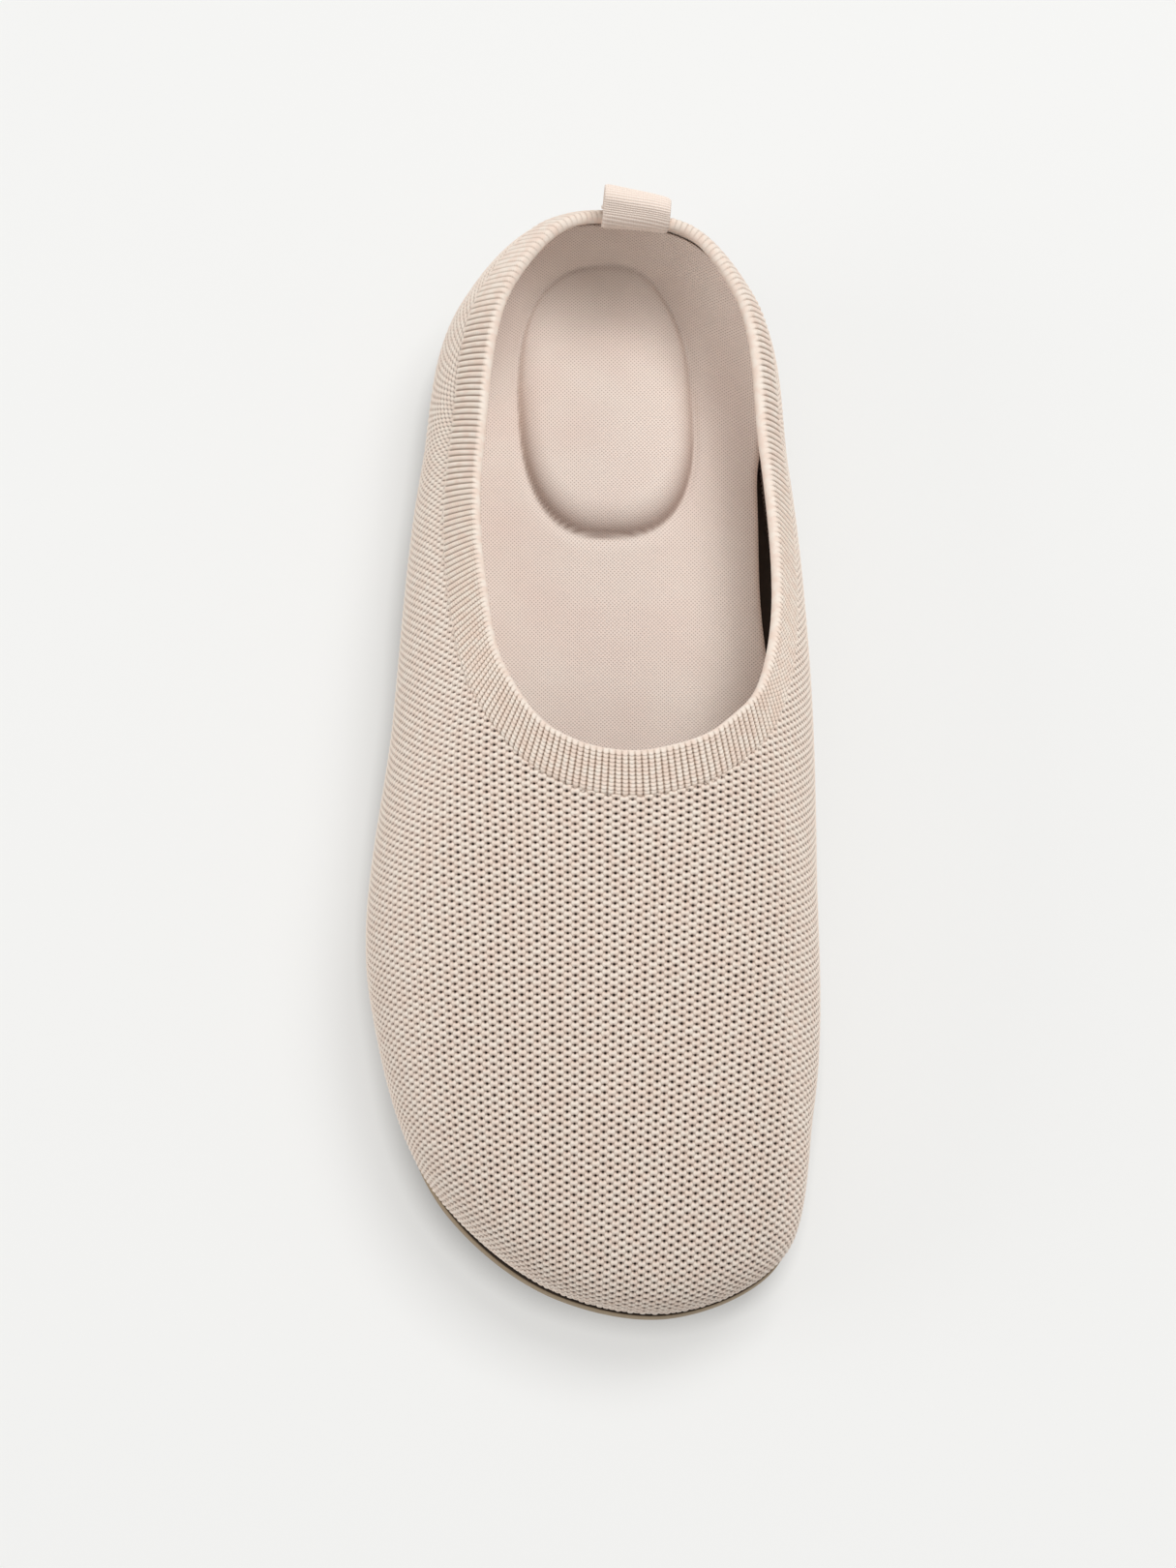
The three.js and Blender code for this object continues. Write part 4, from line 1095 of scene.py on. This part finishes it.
def makeSole():
    # lip, step, leaning side and rounded tread edge as rings, then the grooves between the lugs cut away
    top, lip, step = sole["topInset"], sole["lip"], sole["step"]
    side = ((top + 0.5 * mm, 0), (top + 0.15 * mm, 0.15 * mm), (top, 0.5 * mm),      # inset, depth
            (top, lip - 0.3 * mm), (top + 0.25 * mm, lip), (top + step, lip + step / 2))
    rings = [soleRing(inset, lambda y, depth=depth: soleTop(y) - depth) for inset, depth in side]
    for turn in np.radians((0, 30, 60, 90)):
        inset = treadInset + sole["bevel"] * (1 - math.cos(turn))
        lift = sole["bevel"] * (1 - math.sin(turn))
        rings.append(soleRing(inset, lambda y, lift=lift: treadHeight(y) + lift))
    points, quads, triangles = slab(rings, sole["columns"], sole["columns"], soleTopAt, treadAt)
    piece = makePiece("sole_unit", points, quads.tolist() + triangles.tolist(), soleFinish())
    bars = makeGrooves()
    cut = piece.modifiers.new("grooves", "BOOLEAN")
    cut.operation, cut.object, cut.solver = "DIFFERENCE", bars, "MANIFOLD"
    bpy.context.view_layer.update()
    evaluated = piece.evaluated_get(bpy.context.evaluated_depsgraph_get())
    shaped = bpy.data.meshes.new_from_object(evaluated)
    piece.modifiers.clear()
    piece.data = shaped
    bpy.data.objects.remove(bars)
    shaped.shade_smooth()
    shaped.set_sharp_from_angle(angle=math.radians(38))
    print("sole_unit cut", len(shaped.polygons), "faces")
    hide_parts("sole")


makeSole()

# Pull loop: ribbed tape sewn down outside and inside the collar

tape = {
    "width": 16 * mm, "thickness": 1.1 * mm,
    "height": 9.4 * mm, "skew": 2.4 * mm,
    "radius": 2.1 * mm,
    "lean": 33, "bend": 4 * mm,
    "gather": 0.35,           # the outside leg is drawn in by this share over its length
    "shift": 2 * mm,
    "outside": 8 * mm, "inside": 2.8 * mm,
    "ribPitch": 0.56 * mm, "ribRelief": 0.15 * mm,
    "boldPitch": 0.92 * mm, "boldRun": 2.8 * mm,     # the last ribs inside stand wider
    "columns": 24, "perRib": 5,
    "leanSteps": 24,          # the free part's way up is summed over so many steps
    "peach": paint(253, 238, 226),
    "shadow": paint(204, 176, 158),
}


def faceFrame(distance, below):           # a place on the face, its way out and its way up
    def at(d, b):
        return faceAt(d, b[:, None])[:, 0]

    here = at(distance, below)
    up = unit(here - at(distance, below + nudge))
    ahead = at(distance + nudge, below) - at(distance - nudge, below)
    return here, unit(np.cross(up, ahead)), up


def alongCollar(length):                  # distance round the shoe at a length along the collar's edge
    distance = np.linspace(-60, 60, 1201) * mm
    edge = collarEdge(distance)
    run = np.concatenate([[0], np.cumsum(np.linalg.norm(np.diff(edge, axis=0), axis=1))])
    return np.interp(length, run - run[600], distance)


def tapePath(height):
    # distances off the knit and up from the collar's edge: up the outside, half a turn, down the inside
    outer = form["collarRise"] + form["clearance"] + tape["thickness"] / 2
    inner = -form["wall"] - form["clearance"] - tape["thickness"] / 2
    crown = height - tape["radius"]
    middle = (outer + inner) / 2
    turn = np.linspace(0, math.pi, 25)
    rising = np.linspace(-tape["outside"], crown, 60, endpoint=False)
    lead = mix(outer, middle + tape["radius"], smooth(rising / crown))
    falling = np.linspace(crown, -tape["inside"], 50)[1:]
    tail = mix(inner, middle - tape["radius"], smooth(falling / crown))
    x = np.concatenate([lead, middle + tape["radius"] * np.cos(turn), tail])
    y = np.concatenate([rising, crown + tape["radius"] * np.sin(turn), falling])
    run = np.concatenate([[0], np.cumsum(np.hypot(np.diff(x), np.diff(y)))])
    steps = int(run[-1] / tape["ribPitch"]) * tape["perRib"]
    even = np.linspace(0, run[-1], steps + 1)
    return np.interp(even, run, x), np.interp(even, run, y), even


def tapeFinish():
    f = Finish("tapeWeave", roughness=0.72, specular=0.3, sheen=0.1)
    across, run = f.chart()
    wave = f.math("MULTIPLY_ADD", f.math("COSINE", f.math("MULTIPLY", run, 2 * math.pi)), 0.5, 0.5)
    thread = f.math("MULTIPLY_ADD", f.math("COSINE", f.math("MULTIPLY", across, 2 * math.pi)), 0.5, 0.5)
    low = f.span(wave, 0.0, 0.55, 1.0, 0.0)
    base = f.blend(f.math("MULTIPLY", low, 0.42), tape["peach"], tape["shadow"])
    f.colour(f.blend(f.math("MULTIPLY", thread, 0.1), base, tape["shadow"]))
    coarse = f.bump(thread, 0.06 * mm, 0.5)
    f.bump(f.noise(f.place(), 3000.0, 2.0), 0.05 * mm, 0.4, coarse)
    return f.material


def freePart(d, top, off, common):
    # places over the collar's edge, by their height along the tape and their distance off its middle. The
    # tape turns from the edge's own lean to the common one, so its way up is summed over short steps
    edge, edgeOut, edgeUp = (v[0] for v in faceFrame(np.array([d]), np.array([0.0])))
    flatOut = unit(edgeOut * [1, 1, 0])
    start = math.atan2(edgeUp @ flatOut, edgeUp[2])
    steps = tape["leanSteps"]
    heights = top[:, None] * np.append((np.arange(steps) + 0.5) / steps, 1)          # the last its own
    angle = mix(start, math.radians(tape["lean"]), smooth((heights - mm) / tape["bend"]))
    way = unit(mix(flatOut, common, smooth(heights / tape["bend"])[..., None]))
    upward = np.sin(angle)[..., None] * way + np.cos(angle)[..., None] * [0, 0, 1]
    outward = np.cos(angle)[..., None] * way - np.sin(angle)[..., None] * [0, 0, 1]
    return edge + upward[:, :-1].sum(1) * top[:, None] / steps + outward[:, -1] * off[:, None]


def tapeSides():
    # the tape's two faces, half a thickness off its path and less at the ribs' furrows, which are cosines
    # of a phase that runs on with the tape's length, slower over the bold ribs at its inner end
    columns = tape["columns"]
    across = np.linspace(-0.5, 0.5, columns + 1)
    distance = alongCollar(tape["shift"] + across * tape["width"])
    _, _, even = tapePath(tape["height"])
    count = len(even)
    bold = smooth((even - even[-1] + tape["boldRun"]) / (0.2 * tape["boldRun"]))
    pitch = mix(tape["ribPitch"], tape["boldPitch"], bold)
    phase = np.cumsum(np.gradient(even) / pitch)
    common = unit(faceFrame(np.array([alongCollar(tape["shift"])]), np.array([0.0]))[1][0] * [1, 1, 0])
    sides = {1: [], -1: []}
    for c, d in zip(across, distance):
        x, y, _ = tapePath(tape["height"] - c * tape["skew"])
        keep = np.linspace(0, len(x) - 1, count)
        x, y = np.interp(keep, np.arange(len(x)), x), np.interp(keep, np.arange(len(y)), y)
        tangent = unit(np.stack([np.gradient(x), np.gradient(y)], -1))
        full = np.sqrt(max(0.0, 1 - (2 * abs(c)) ** 14))            # the tape thins at its two edges
        ribbing = tape["ribRelief"] * (pitch / tape["ribPitch"]) * (np.cos(2 * np.pi * phase) - 1) / 2
        for sign in sides:
            half = sign * (tape["thickness"] / 2 * mix(0.45, 1.0, full) + ribbing)
            px, py = x + tangent[:, 1] * half, y - tangent[:, 0] * half
            depth = np.maximum(-py, 0)
            drawn = 1 - tape["gather"] * depth / tape["outside"]
            here, out, _ = faceFrame(mix(distance[columns // 2], d, drawn), depth)
            sewn = here + out * px[:, None]
            free = freePart(d, np.maximum(py, 0), px, common)
            sides[sign].append(np.where((py <= 0)[:, None], sewn, free))
    return np.concatenate([sides[1], sides[-1][::-1]]), across, phase


def makeTape():
    # one closed skin: front face, far edge, back face, near edge, and the two cut ends
    around, across, phase = tapeSides()
    rows, count = around.shape[:2]
    columns = tape["columns"]
    faces, corners = netFaces(rows, count, closedRows=True)
    wide = np.concatenate([across, across[::-1], across[:1]]) * tape["width"] / tape["ribPitch"]
    chart = np.stack([wide[:, None] * np.ones(count), phase[None, :] * np.ones((rows + 1, 1))], -1)
    ends = []
    for end in (0, count - 1):
        near = np.arange(columns) * count + end
        far = (rows - 1 - np.arange(columns)) * count + end
        quad = np.stack([near, near + count, far - count, far], 1)
        ends.append(quad if end else quad[:, ::-1])
    ends = np.concatenate(ends)
    chart = np.concatenate([chart.reshape(-1, 2)[corners.ravel()], np.zeros((ends.size, 2))])
    piece = makePiece("pull_tape", around.reshape(-1, 3), faces.tolist() + ends.tolist(), tapeFinish(),
                      chart)
    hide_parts("pull_loop")


makeTape()

# Camera

camera = {
    "down": 70,               # degrees that it looks down
    "turn": 4,                # degrees that it stands off to the outer side
    "distance": 1.0,
    "lens": 99.8,
    "height": 30 * mm,        # of the point it looks at
    "shift": (-2.0 * mm, -2.2 * mm),
    "frameShift": -0.021,
}


def setCamera():
    down, turn = math.radians(camera["down"]), math.radians(camera["turn"])
    back = Vector((-math.sin(turn), -math.cos(turn) * math.cos(down), math.cos(turn) * math.sin(down)))
    target = Vector((camera["shift"][0] + shift[0], camera["shift"][1] + shift[1], camera["height"]))
    lens = bpy.data.cameras.new("view")
    lens.lens = camera["lens"]
    lens.shift_y = camera["frameShift"]
    lens.clip_start, lens.clip_end = 0.01, 20
    eye = bpy.data.objects.new("view", lens)
    eye.location = target + back * camera["distance"]
    right = (-back).cross(Vector((0, 1, 0))).normalized()      # the picture stands straight along the shoe
    eye.rotation_mode = "QUATERNION"
    eye.rotation_quaternion = Matrix((right, right.cross(-back), back)).transposed().to_quaternion()
    bpy.context.scene.collection.objects.link(eye)
    bpy.context.scene.camera = eye


setCamera()

# Floor and light

studio = {
    "floorSize": 6.0,
    "floor": paint(161, 161, 160),
    "speck": paint(165, 165, 162),
    "glow": 0.54,             # painted light of the floor's own, as over a lit table, which thins the shadows
    "glowColour": (1.0, 1.0, 0.985, 1.0),
    "contactShadowReach": 7 * mm,     # the glow is painted darker near the shoe within this reach, as a contact shadow
    "air": (1.0, 1.0, 0.995, 1.0),
    "airStrength": 0.4,
    "lamps": (                # name, watts, width, place: one high behind the heel, one low at each side
        ("keySoftbox", 13.6, 0.7, (0.36, 0.5, 1.42)),
        ("innerSoftbox", 0.9, 0.8, (1.2, -0.15, 0.6)),
        ("outerSoftbox", 4.5, 0.8, (-1.2, -0.15, 0.6)),
    ),
}


def makeStudio():
    corners = np.array([(-1, -1, 0), (1, -1, 0), (1, 1, 0), (-1, 1, 0)]) * studio["floorSize"] / 2
    mesh = bpy.data.meshes.new("floor")
    mesh.from_pydata(corners.tolist(), [], [(0, 1, 2, 3)])
    f = Finish("floorPaper", roughness=0.9, specular=0.1)
    speck = f.noise(f.place(), 900.0, 2.0)
    f.colour(f.blend(f.span(speck, 0.3, 0.7, 0.0, 0.02), studio["floor"], studio["speck"]))
    f.shader.inputs["Emission Color"].default_value = studio["glowColour"]
    # the glow is darkened by the shoe's nearness: a painted contact shadow
    contactShadow = f.node("ShaderNodeAmbientOcclusion", samples=8)
    contactShadow.inputs["Distance"].default_value = studio["contactShadowReach"]
    glow = f.math("MULTIPLY", contactShadow.outputs["AO"], studio["glow"])
    f.feed(f.shader.inputs["Emission Strength"], glow)
    mesh.materials.append(f.material)
    floor = bpy.data.objects.new("floor", mesh)
    bpy.context.scene.collection.objects.link(floor)
    world = bpy.data.worlds.new("studio")
    world.use_nodes = True
    air = world.node_tree.nodes["Background"]
    air.inputs["Color"].default_value = studio["air"]
    air.inputs["Strength"].default_value = studio["airStrength"]
    bpy.context.scene.world = world
    for name, watts, width, place in studio["lamps"]:
        lamp = bpy.data.lights.new(name, "AREA")
        lamp.energy, lamp.size = watts, width
        stand = bpy.data.objects.new(name, lamp)
        stand.location = place
        stand.rotation_mode = "QUATERNION"
        stand.rotation_quaternion = (-Vector(place)).to_track_quat("-Z", "Y")
        bpy.context.scene.collection.objects.link(stand)
    bpy.context.scene.view_settings.view_transform = "Standard"


makeStudio()
